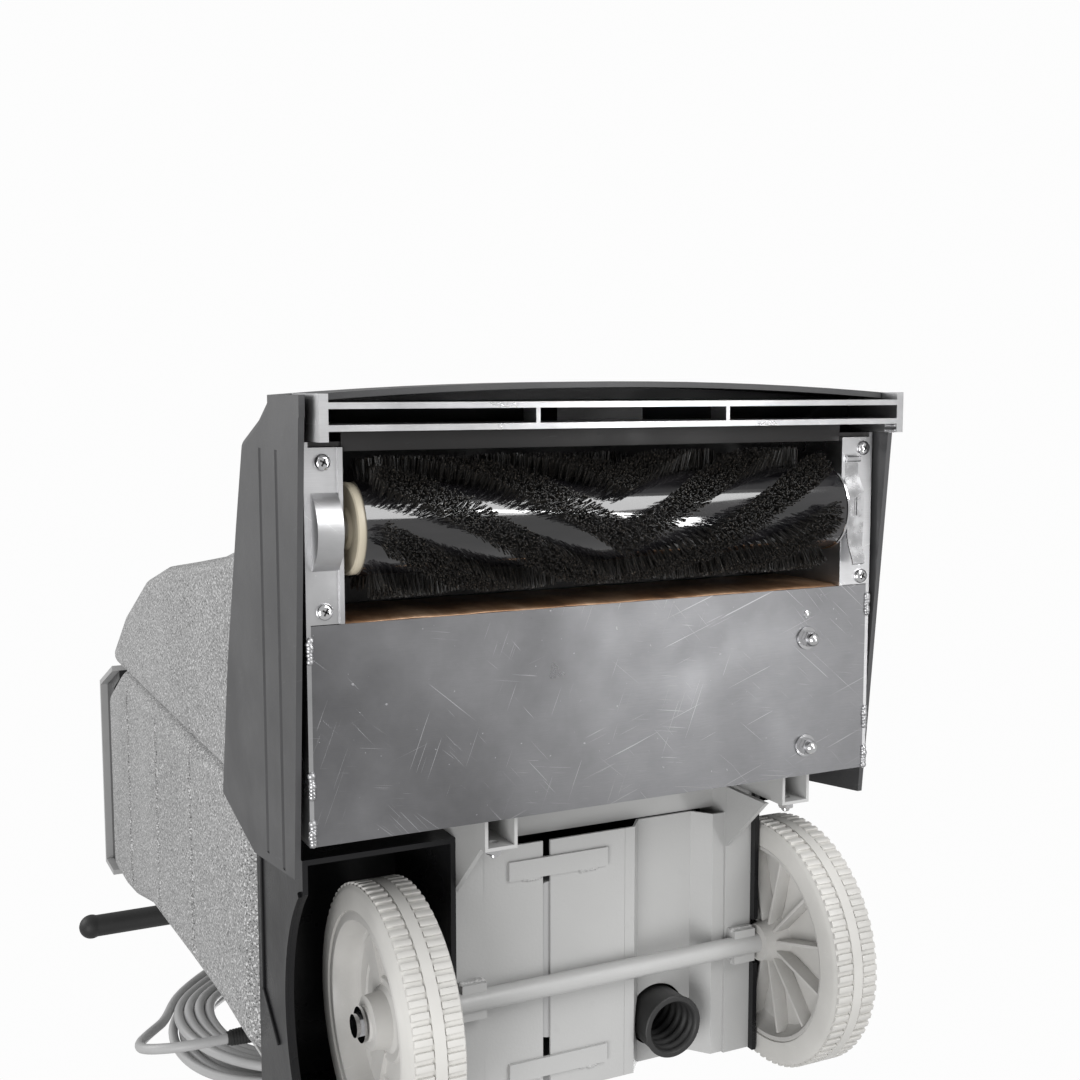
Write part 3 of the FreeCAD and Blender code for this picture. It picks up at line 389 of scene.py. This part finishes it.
# ------------------------------------------------------------------ mesh helpers
def piece_from(name, bm, material, node, smooth=True):
    """Finishes a mesh as a piece, with the given material, that rides with a CAD node's body."""
    bmesh.ops.recalc_face_normals(bm, faces=bm.faces)
    mesh = bpy.data.meshes.new(name)
    bm.to_mesh(mesh)
    bm.free()
    mesh.materials.append(material)
    piece = bpy.data.objects.new(name, mesh)
    bpy.context.collection.objects.link(piece)
    if smooth:
        mesh.shade_smooth()
        mesh.set_sharp_from_angle(angle=SHARP_EDGE)
    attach(piece, BODY[node])
    return piece


def spot_about(centre, axis, along, radius, angle):
    """The point at a distance along an axis through centre, a radius from it and an angle round it."""
    lead, first, second = {"X": (0, 1, 2), "Y": (1, 0, 2), "Z": (2, 0, 1)}[axis]
    spot = Vector(centre)
    spot[lead] += along
    spot[first] += radius * math.cos(angle)
    spot[second] += radius * math.sin(angle)
    return spot


def join_rings(bm, rings, around=False):
    """Skins a row of rings; the row closes on itself if it goes around, and is capped if it doesn't."""
    pairs = list(zip(rings, rings[1:]))
    if around:
        pairs.append((rings[-1], rings[0]))
    for here, there in pairs:
        for number in range(len(here)):
            after = (number + 1) % len(here)
            bm.faces.new((here[number], here[after], there[after], there[number]))
    if not around:
        bm.faces.new(rings[0])
        bm.faces.new(rings[-1])


def lathe(bm, profile, centre, side=1, segments=96, axis="X"):
    """Adds a closed outline of (along the axis, radius) turned about the axis through centre."""
    rings = []
    for step in range(segments):
        angle = FULL_TURN * step / segments
        rings.append([bm.verts.new(spot_about(centre, axis, side * along, radius, angle))
                      for along, radius in profile])
    join_rings(bm, rings, around=True)


def block(bm, size, matrix, bevel=0.0):
    """Adds a box of a size, placed by a matrix, with its edges rounded."""
    made = bmesh.ops.create_cube(bm, size=1, matrix=matrix @ Matrix.Diagonal((*size, 1)))
    if bevel:
        edges = list(dict.fromkeys(edge for vert in made["verts"] for edge in vert.link_edges))
        bmesh.ops.bevel(bm, geom=edges, offset=bevel, segments=2, affect="EDGES", profile=0.5)


# ------------------------------------------------------------------ cord
CORD_DIA = 0.009
CORD_ROUTE = [(-210, 223, 360), (-230, 223, 360), (-252, 225, 366), (-269, 230, 382), (-277, 237, 403),
              (-275, 243, 426), (-266, 248, 447.5), (-254, 251, 467), (-240, 252, 484)]


def cord_points():
    """The lead from the strain relief, the hanging coil's turns, and the tail down to the plug."""
    low, high = (Vector(corner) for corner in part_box("cord_coil"))
    centre = (low + high) / 2
    inset, hole = 0.0052, 0.108
    outer, inner = (high.x - low.x) / 2 - inset, hole + inset
    points = [Vector(point) * MM for point in CORD_ROUTE]
    turns, per_turn, layer, crossing = 8.5, 26, 0.008, 40
    steps = int(turns * per_turn)
    for step in range(2, steps + 1):
        part = step / steps
        angle = math.pi - FULL_TURN * turns * part
        fold = abs(1 - 2 * part)
        radius = inner + (outer - inner) * fold
        lane = layer * math.tanh((part - 0.5) * crossing)
        ripple = 0.0028 * math.sin(angle * 3 + 5 * part) + 0.0016 * math.sin(angle * 5 + 2)
        points.append(centre + Vector((radius * math.cos(angle), lane + ripple, radius * math.sin(angle))))
    tail_low, tail_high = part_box("cord_plug")
    x, y, plug_top = (tail_low.x + tail_high.x) / 2, 0.268, 0.392
    top = points[-1].z
    for share in (0.3, 0.62, 1.0):
        points.append(Vector((x, y, top + (plug_top - top) * share)))
    return points


def make_cord():
    """The mains lead as one curve, which stands for both cord nodes of the CAD."""
    curve = bpy.data.curves.new("power_cord_line", "CURVE")
    curve.dimensions = "3D"
    curve.bevel_depth = CORD_DIA / 2
    curve.bevel_resolution = 5
    curve.resolution_u = 4
    points = cord_points()
    spline = curve.splines.new("NURBS")
    spline.points.add(len(points) - 1)
    for target, point in zip(spline.points, points):
        target.co = (*point, 1)
    spline.order_u = 3
    spline.use_endpoint_u = True
    curve.use_fill_caps = True
    curve.materials.append(CORD)
    cable = bpy.data.objects.new("power_cord_line", curve)
    bpy.context.collection.objects.link(cable)
    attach(cable, "chassis")
    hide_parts("power_cord", "cord_coil")


make_cord()


# ------------------------------------------------------------------ wheels
def make_tyre(side, sign, centre):
    """A smooth middle rib, two bands of cross ribs half a rib apart, and bevelled shoulders."""
    body = bmesh.new()
    groove = TYRE_RADIUS - 0.0022
    profile = [(0.1482, 0.0815), (0.1482, 0.0955), (0.1498, 0.0978), (0.1505, groove), (0.1645, groove),
               (0.1648, TYRE_RADIUS), (0.1732, TYRE_RADIUS), (0.1735, groove), (0.1875, groove),
               (0.1882, 0.0978), (0.1898, 0.0955), (0.1898, 0.0815)]
    lathe(body, profile, centre, sign, 144)
    ribs = 74
    for band, shift in ((0.1574, 0), (0.1806, 0.5)):
        for number in range(ribs):
            angle = FULL_TURN * (number + shift) / ribs
            spot = spot_about(centre, "X", sign * band, TYRE_RADIUS - 0.0013, angle)
            place = Matrix.Translation(spot) @ Matrix.Rotation(angle, 4, "X")
            block(body, (0.0132, 0.0026, 0.0046), place, 0.0005)
    tyre = piece_from(side + "_tyre_tread", body, TREAD, side + "_tyre")
    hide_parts(side + "_tyre")


def make_disc(side, sign, centre):
    """A dished web with a stepped rim and hub, three wedges outside and twelve ribs inside."""
    body = bmesh.new()
    profile = [(0.144, AXLE_BORE), (0.1885, AXLE_BORE), (0.1885, 0.0125), (0.1868, 0.0132), (0.1862, 0.0195),
               (0.1738, 0.0215), (0.1715, 0.0245), (0.1722, 0.030), (0.1700, 0.0315), (0.1692, 0.047),
               (0.1706, 0.0485), (0.1702, 0.051), (0.1684, 0.0525), (0.1680, 0.066), (0.1700, 0.0690),
               (0.1770, 0.0712), (0.1868, 0.0728), (0.1886, 0.0742), (0.1888, 0.0795), (0.1875, 0.0816),
               (0.1500, 0.0816), (0.1488, 0.0800), (0.1495, 0.0775), (0.1600, 0.0745), (0.1640, 0.0700),
               (0.1655, 0.0300), (0.1640, 0.0215), (0.1560, 0.0170), (0.1440, 0.0150)]
    lathe(body, profile, centre, sign, 120)
    # each wedge keeps its width from the hub to the rim, and its top is smaller than its foot
    wedges, near, far, near_swing, far_swing = 3, 0.026, 0.064, 0.42, 0.17
    for number in range(wedges):
        angle = FULL_TURN * (number + 0.2) / wedges
        corners = [(near, -near_swing, 1.02), (far, -far_swing, 0.97),
                   (far, far_swing, 0.97), (near, near_swing, 1.02)]
        lows = [body.verts.new(spot_about(centre, "X", sign * 0.1660, radius, angle + swing))
                for radius, swing, _ in corners]
        tops = [body.verts.new(spot_about(centre, "X", sign * 0.1728, radius * draw, angle + swing * 0.88))
                for radius, swing, draw in corners]
        body.faces.new(tops)
        body.faces.new(lows[::-1])
        for index in range(4):
            after = (index + 1) % 4
            body.faces.new((lows[index], lows[after], tops[after], tops[index]))
    ribs = 12
    for number in range(ribs):
        angle = FULL_TURN * (number + 0.5) / ribs
        place = Matrix.Translation(spot_about(centre, "X", sign * 0.1585, 0.0455, angle))
        block(body, (0.0125, 0.0595, 0.0026), place @ Matrix.Rotation(angle, 4, "X"), 0.0004)
    disc = piece_from(side + "_wheel_moulding", body, WARM, side + "_wheel_disc")
    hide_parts(side + "_wheel_disc")


def make_wheel(side, sign):
    """A wheel whose outlines are measured from a point a little outward of the chassis middle."""
    low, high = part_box(side + "_tyre")
    middle_x, outward = 0.024, 0.006
    centre = Vector((middle_x + outward * sign, (low.y + high.y) / 2, (low.z + high.z) / 2))
    make_tyre(side, sign, centre)
    make_disc(side, sign, centre)


make_wheel("left", -1)
make_wheel("right", 1)


# ------------------------------------------------------------------ brush
def make_bristles():
    """Six thick strips of bristle tufts laid in a V round the core."""
    low, high = (Vector(corner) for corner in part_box("brush_bristles"))
    centre = (low + high) / 2
    half = (high.x - low.x) / 2 - 0.003
    root, tip = 0.0318, (high.z - low.z) / 2 - 0.0008
    body = bmesh.new()
    strips, rows, pitch = 6, 5, 0.0052
    apex, lead = math.radians(287), -2.35
    for strip in range(strips):
        for side in (-1, 1):
            for number in range(int(half / pitch) + 1):
                for row in range(rows):
                    along = pitch * (number + 0.5 * (row % 2))
                    if along > half or (side < 0 and along == 0):
                        continue
                    angle = apex + strip * FULL_TURN / strips + lead * along / half + (row - 2) * 0.105
                    tuft(body, centre, side * along, angle, root, tip)
    piece = piece_from("brush_tufts", body, FIBRE, "brush_bristles", smooth=False)
    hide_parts("brush_bristles")


def tuft(body, centre, along, angle, root, tip):
    """A bundle of fibres that spread from one hole; each is a slim wedge, thickest at its cut end."""
    out = Vector((0, math.cos(angle), math.sin(angle)))
    across = Vector((0, -math.sin(angle), math.cos(angle)))
    sideways = Vector((1, 0, 0))
    start = centre + sideways * along + out * root
    for _ in range(FIBRES):
        spin = rng.uniform(0, FULL_TURN)
        spread = 0.0036 * math.sqrt(rng.uniform(0.02, 1))
        lean = sideways * (spread * math.cos(spin)) + across * (spread * math.sin(spin))
        reach = tip - 0.0006 - rng.uniform(0, 0.0028)
        end = centre + sideways * along + out * (math.sqrt(reach ** 2 - spread ** 2)) + lean
        thick = rng.uniform(0.00038, 0.0006)
        turn = rng.uniform(0, FULL_TURN)
        foot = body.verts.new(start + lean * 0.35)
        tips = [body.verts.new(end + (sideways * math.cos(turn + a) + across * math.sin(turn + a)) * thick)
                for a in (0, 2.1, 4.2)]
        body.faces.new(tips)
        for index in range(3):
            body.faces.new((foot, tips[(index + 1) % 3], tips[index]))


make_bristles()


# ------------------------------------------------------------------ brush ends and chamber
def make_brush_ends():
    """A chromed flange at one end of the core and a cream flange at the other."""
    low, high = (Vector(corner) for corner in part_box("brush_end_caps"))
    y, z = (low.y + high.y) / 2, (low.z + high.z) / 2
    body = bmesh.new()
    thick = 0.003
    lathe(body, [(0, SHAFT_BORE), (0, 0.0316), (0.0006, 0.0327), (0.0018, 0.033), (0.0028, 0.0322),
                 (thick, 0.030), (0.0016, 0.0275), (0.0016, 0.014), (thick, 0.0125), (thick, SHAFT_BORE)],
          (high.x - thick, y, z))
    ring = piece_from("brush_end_flange", body, CHROME, "brush_end_caps")
    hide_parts("brush_end_caps")
    body = bmesh.new()
    lathe(body, [(0, SHAFT_BORE), (0, 0.012), (0.002, 0.0142), (0.0022, 0.026), (0.0006, 0.029),
                 (0.0012, 0.0307), (0.0026, 0.031), (0.006, 0.0306), (0.006, SHAFT_BORE)], (low.x, y, z))
    piece_from("brush_end_bush", body, CREAM, "brush_end_caps")


def make_chamber():
    """The stained splash sheet behind the brush and the baffle in front of it, whose near black is painted
    shade of the chamber.
    """
    low, high = (Vector(corner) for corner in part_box("bearing_plates"))
    wall = 0.0032
    left, right = low.x + wall, high.x - wall
    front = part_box("head_walls")[0].y
    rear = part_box("head_pan")[0].y
    body = bmesh.new()
    steps = 24
    section = ((0.0365, 0), (0.042, -0.0012), (0.075, -0.0012), (0.118, 0))
    rows = []
    for step in range(steps + 1):
        x = left + (right - left) * step / steps
        dent = 0.0003 * math.sin(step * 1.7)
        rows.append([body.verts.new((x, rear - 0.0004 + shift + dent, z)) for z, shift in section])
    for first, second in zip(rows, rows[1:]):
        for number in range(len(section) - 1):
            body.faces.new((first[number], first[number + 1], second[number + 1], second[number]))
    sheet = piece_from("splash_sheet", body, BROWN, "head_walls")
    thicken = sheet.modifiers.new("thickness", "SOLIDIFY")
    thicken.thickness = 0.0007
    body = bmesh.new()
    size = (right - left, 0.0135, 0.0018)
    block(body, size, Matrix.Translation(((left + right) / 2, front - 0.0005, 0.0372)), 0.0004)
    # The baffle's near black is painted shade.
    piece_from("front_baffle", body, DARK, "head_walls")


make_brush_ends()
make_chamber()


# ------------------------------------------------------------------ fasteners and welds
def cross_screw(body, recess_shade, centre, axis="Z", side=-1):
    """A pan-headed screw that faces out along an axis; its cross recess is a near-black cross block, painted
    shade in place of a cut recess.
    """
    lathe(body, [(0, 0.0002), (0, 0.0057), (0.0012, 0.0056), (0.0024, 0.0048), (0.0031, 0.0032),
                 (0.0033, 0.0002)], centre, side, 40, axis)
    out = Vector((0, 0, side)) if axis == "Z" else Vector((0, side, 0))
    # The cross block is painted shade of the recess.
    for turn in (0.5, 0.5 + math.pi / 2):
        place = Matrix.Translation(Vector(centre) + out * 0.0029) @ Matrix.Rotation(turn, 4, axis)
        block(recess_shade, (0.0054, 0.0012, 0.0011) if axis == "Z" else (0.0054, 0.0011, 0.0012), place)


def acorn_nut(body, centre):
    """A washer, a chamfered hexagon and a dome, facing down from the sheet."""
    washer = [(0, 0.0003), (0, 0.0084), (0.0006, 0.0089), (0.0014, 0.0087), (0.0016, 0.0003)]
    lathe(body, washer, centre, -1, 48, "Z")
    hexagon(body, centre, 0.0016, 0.0072, 0.0064)
    dome = [(0.0070, 0.0002)] + [(0.0070 + 0.0058 * math.sin(a), 0.0056 * math.cos(a))
                                 for a in (0, 0.3, 0.6, 0.9, 1.2, 1.45)] + [(0.0128, 0.0002)]
    lathe(body, dome, centre, -1, 40, "Z")


def hexagon(body, centre, start, end, reach, axis="Z", side=-1):
    """A hexagonal prism along an axis with its corners chamfered at the free end."""
    chamfer = 0.0008
    sections = ((start, reach), (end - chamfer, reach), (end, reach * 0.88))
    rings = [[body.verts.new(spot_about(centre, axis, side * along, radius, corner * math.pi / 3))
              for corner in range(6)] for along, radius in sections]
    join_rings(body, rings)


def make_head_fixings():
    """The screws, cap nuts, rivet, post bolts and spacers of the head."""
    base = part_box("head_pan")[0].z
    post_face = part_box("head_posts")[1].y
    bolt_z, nut_x = 0.058, POST_X[1]
    body, recess_shade = bmesh.new(), bmesh.new()
    for x, y in ((-0.216, -0.303), (-0.216, -0.206), (0.2195, -0.304), (0.2195, -0.204)):
        cross_screw(body, recess_shade, (x, y, base))
    for y in (-0.1585, -0.074):
        acorn_nut(body, (nut_x, y, base))
    rivet = [(0, 0.0002), (0, 0.0034), (0.0010, 0.0031), (0.0019, 0.0018), (0.0020, 0.0002)]
    lathe(body, rivet, (nut_x, -0.177, base), -1, 32, "Z")
    for x in POST_X:
        lathe(body, [(0, 0.0002), (0, 0.0033), (0.009, 0.0033), (0.0102, 0.0022), (0.0102, 0.0002)],
              (x, post_face - 0.001, bolt_z), 1, 32, "Y")
        lathe(body, [(0.0001, 0.0003), (0.0001, 0.0085), (0.0014, 0.0085), (0.0016, 0.0003)],
              (x, post_face, bolt_z), 1, 40, "Y")
        hexagon(body, (x, post_face, bolt_z), 0.0016, 0.0062, 0.0064, "Y", 1)
    spacer = [(0.2286, 0.0003), (0.2286, 0.005), (0.2319, 0.005), (0.2319, 0.0003)]
    for side in (-1, 1):
        for y in (-0.28, -0.09):
            lathe(body, spacer, (0, y, 0.1), side, 32)
    piece = piece_from("head_screws", body, CHROME, "head_fixings")
    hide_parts("head_fixings")
    # Painted shade: the near-black crosses in the screw heads.
    piece_from("screw_recesses", recess_shade, DARK, "head_fixings", smooth=False)


def weld(body, start, end, radius):
    """A stack of flattened overlapping drops along a line given in millimetres."""
    start, end = Vector(start) * MM, Vector(end) * MM
    count = max(3, int((end - start).length / (radius * 0.75)))
    for number in range(count):
        spot = start.lerp(end, number / (count - 1))
        swell = radius * rng.uniform(0.86, 1.15)
        lift = Vector((rng.uniform(-1, 1), rng.uniform(-1, 1), rng.uniform(-1, 1))) * radius * 0.12
        shape = Matrix.Translation(spot + lift) @ Matrix.Diagonal((swell, swell, swell * 0.75, 1))
        bmesh.ops.create_icosphere(body, subdivisions=2, radius=1, matrix=shape)


def make_welds():
    """Beads at the corners of the pan, on the floor straps and where posts and axle meet the rails."""
    body = bmesh.new()
    for x in (-226.5, 226.5):
        for y in (-188, -98, -66):
            weld(body, (x, y, 34.6), (x, y + 14, 34.6), 0.0026)
    for start in (-322, -318):
        weld(body, (222.5, start, 2), (222.5, start, 12), 0.0014)
    piece_from("pan_welds", body, WELD, "head_pan")
    body = bmesh.new()
    for y in (25.5, 187.5):
        for x in (-36, 14):
            weld(body, (x, y, 111), (x + 12, y, 111), 0.0024)
    for x in (-84, 160):
        for y in (97, 123):
            weld(body, (x - 8, y, 104), (x + 8, y, 104), 0.0026)
    for x in (-96, 171):
        weld(body, (x, -36, 110), (x, -26, 110), 0.0026)
    piece_from("frame_welds", body, PAINTED, "chassis_brackets")


make_head_fixings()
make_welds()


# ------------------------------------------------------------------ latch and hose cuff
def make_latch():
    """The bent spring clip: an eye at one end, a slotted flat and a turned-up thumb end."""
    # y, z and half width of the strip, from the eye to the thumb end
    path = [(-0.2925, 0.0346, 0.0068), (-0.2835, 0.0342, 0.0068), (-0.2805, 0.0325, 0.0072),
            (-0.273, 0.0288, 0.0078), (-0.2695, 0.0280, 0.0080), (-0.2665, 0.0278, 0.0080),
            (-0.2525, 0.0278, 0.0080), (-0.2485, 0.0278, 0.0080), (-0.236, 0.0278, 0.0074),
            (-0.229, 0.0270, 0.0066), (-0.2195, 0.0232, 0.0060), (-0.2155, 0.0226, 0.0054),
            (-0.2145, 0.0242, 0.0046)]
    slot_start, slot_end, half_slot, thick = 5, 6, 0.0014, 0.0013
    body = bmesh.new()

    def leg(points, left=None, right=None):
        """A run of the strip, from its left edge to its right edge unless a fixed edge is given."""
        rings = []
        for y, z, half in points:
            near, far = -half if left is None else left, half if right is None else right
            rings.append([body.verts.new((LATCH_X + across, y, z + rise)) for across, rise in
                          ((near, 0), (far, 0), (far, thick), (near, thick))])
        join_rings(body, rings)

    leg(path[:slot_start + 1])
    leg(path[slot_start:slot_end + 1], right=-half_slot)
    leg(path[slot_start:slot_end + 1], left=half_slot)
    leg(path[slot_end:])
    lathe(body, [(-0.0066, 0.00125), (-0.0066, 0.0027), (0.0066, 0.0027), (0.0066, 0.00125)],
          (LATCH_X, -0.296, 0.0328), 1, 28)
    piece = piece_from("latch_clip", body, SPRING, "brush_latch")
    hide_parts("brush_latch")


def make_cuff():
    """The hose cuff with its coarse internal thread, rolled mouth and outer flange."""
    low, high = (Vector(corner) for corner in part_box("hose_cuff"))
    centre = ((low.x + high.x) / 2, (low.y + high.y) / 2, low.z)
    outer = (high.x - low.x) / 2
    body = bmesh.new()
    segments, turns, rows_per_turn, lead_in, depth, bottom = 96, 5, 8, 0.004, 0.050, 0.0595
    rows = turns * rows_per_turn
    rings = []
    for step in range(segments):
        angle = FULL_TURN * step / segments
        profile = [(bottom, outer - 0.003), (0.0022, outer - 0.001), (0.0010, outer - 0.0002),
                   (0.0002, outer - 0.0010), (0, outer - 0.003), (0, 0.0218), (0.001, 0.0206),
                   (0.003, 0.0200)]
        for row in range(rows + 1):
            share = row / rows
            wave = math.cos(FULL_TURN * turns * share - angle)
            profile.append((lead_in + (depth - lead_in) * share, 0.02045 + 0.0013 * wave))
        profile += [(depth + 0.002, 0.0192), (bottom, 0.0192)]
        rings.append([body.verts.new(spot_about(centre, "Z", along, radius, angle))
                      for along, radius in profile])
    join_rings(body, rings, around=True)
    piece = piece_from("hose_cuff_thread", body, MATT, "hose_cuff")
    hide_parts("hose_cuff")


make_latch()
make_cuff()


# ------------------------------------------------------------------ shell, console and back panel
def make_shell_trim():
    """The raised edge round the left wheel arch and the bent bead above it."""
    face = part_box("base_shell")[0].x
    body = bmesh.new()
    middle, inner, outer, proud, buried = (face, 0.1, 0.02), 0.1252, 0.1296, 0.0026, -0.0005
    section = ((inner, buried), (inner, proud), (outer - 0.001, proud), (outer, proud * 0.6), (outer, buried))
    steps = 48
    rings = []
    for step in range(steps + 1):
        angle = math.radians(43.5 + 93 * step / steps)
        rings.append([body.verts.new(spot_about(middle, "X", -out, radius, angle))
                      for radius, out in section])
    join_rings(body, rings)
    corners = [(0.0, 0.213), (0.118, 0.213), (0.146, 0.174)]
    for (y0, z0), (y1, z1) in zip(corners, corners[1:]):
        run = math.hypot(y1 - y0, z1 - z0)
        place = Matrix.Translation((face - 0.0006, (y0 + y1) / 2, (z0 + z1) / 2))
        place = place @ Matrix.Rotation(math.atan2(z1 - z0, y1 - y0), 4, "X")
        block(body, (0.0028, run + 0.003, 0.0042), place, 0.0009)
    piece_from("arch_rim", body, SHELL, "base_shell")


def make_gauge():
    """A pressure gauge: bezel, dial with marks, and needle."""
    low, high = (Vector(corner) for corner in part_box("pressure_gauge"))
    x, y, base, reach = (low.x + high.x) / 2, (low.y + high.y) / 2, low.z, (high.x - low.x) / 2
    body = bmesh.new()
    lathe(body, [(0, 0.0005), (0, reach - 0.0006), (0.0008, reach), (0.0075, reach), (0.0088, reach - 0.001),
                 (0.009, reach - 0.0022), (0.0084, reach - 0.0032), (0.0046, reach - 0.0036),
                 (0.0046, 0.0005)], (x, y, base), 1, 72, "Z")
    bezel = piece_from("gauge_bezel", body, CHROME, "pressure_gauge")
    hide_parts("pressure_gauge")
    body = bmesh.new()
    lathe(body, [(0.0047, 0.0004), (0.0047, reach - 0.0038), (0.0052, reach - 0.0038), (0.0052, 0.0004)],
          (x, y, base), 1, 60, "Z")
    piece_from("gauge_dial", body, DIAL, "pressure_gauge")
    body = bmesh.new()
    for mark in range(21):
        angle = math.radians(-135 + 13.5 * mark)
        length = 0.0042 if mark % 5 == 0 else 0.0022
        place = Matrix.Translation((x, y, base + 0.0053)) @ Matrix.Rotation(-angle, 4, "Z")
        place = place @ Matrix.Translation((0, reach - 0.0052 - length / 2, 0))
        block(body, (0.0007, length, 0.0003), place)
    place = Matrix.Translation((x, y, base + 0.0062)) @ Matrix.Rotation(math.radians(110), 4, "Z")
    block(body, (0.0011, 0.024, 0.0005), place @ Matrix.Translation((0, 0.0065, 0)), 0.0002)
    pivot = [(0.0052, 0.0003), (0.0052, 0.0030), (0.0069, 0.0026), (0.0072, 0.0003)]
    lathe(body, pivot, (x, y, base), 1, 32, "Z")
    piece_from("gauge_needle", body, DARK, "pressure_gauge", smooth=False)


def make_cap():
    """A ribbed screw cap with a raised grip across its top."""
    low, high = (Vector(corner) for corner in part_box("solution_cap"))
    x, y, reach, tall = (low.x + high.x) / 2, (low.y + high.y) / 2, (high.x - low.x) / 2, high.z - low.z
    body = bmesh.new()
    wall = reach - 0.0014
    lathe(body, [(0, wall - 0.0042), (0, wall), (tall - 0.005, wall), (tall - 0.0028, wall - 0.0012),
                 (tall - 0.002, wall - 0.004), (tall - 0.0024, wall - 0.012), (tall - 0.0024, 0.0005),
                 (tall - 0.0075, 0.0005), (tall - 0.0075, wall - 0.0042)], (x, y, low.z), 1, 84, "Z")
    ribs = 30
    for number in range(ribs):
        angle = FULL_TURN * number / ribs
        place = Matrix.Translation((x, y, low.z + tall * 0.42)) @ Matrix.Rotation(angle, 4, "Z")
        block(body, (0.0022, 0.0030, tall * 0.66), place @ Matrix.Translation((wall, 0, 0)), 0.0006)
    block(body, (0.05, 0.011, 0.0042), Matrix.Translation((x, y, high.z - 0.0022)), 0.0013)
    cap = piece_from("ribbed_cap", body, GLOSS, "solution_cap")
    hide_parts("solution_cap")


def make_back_screws():
    """Screws round the back panel and on the wiring box."""
    low, high = (Vector(corner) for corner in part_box("rear_panel"))
    panel_inset, box_inset = 0.012, 0.009
    body, recess_shade = bmesh.new(), bmesh.new()
    for x in (low.x + panel_inset, high.x - panel_inset):
        for share in (0.03, 0.35, 0.66, 0.975):
            cross_screw(body, recess_shade, (x, high.y, low.z + (high.z - low.z) * share), "Y", 1)
    near, far = (Vector(corner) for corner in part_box("wiring_box"))
    for x in (near.x + box_inset, far.x - box_inset):
        for z in (near.z + box_inset, far.z - box_inset):
            cross_screw(body, recess_shade, (x, far.y, z), "Y", 1)
    piece_from("back_screws", body, CHROME, "rear_panel")
    # Painted shade: the near-black crosses in the screw heads.
    piece_from("back_screw_recesses", recess_shade, DARK, "rear_panel", smooth=False)


make_shell_trim()
make_gauge()
make_cap()
make_back_screws()
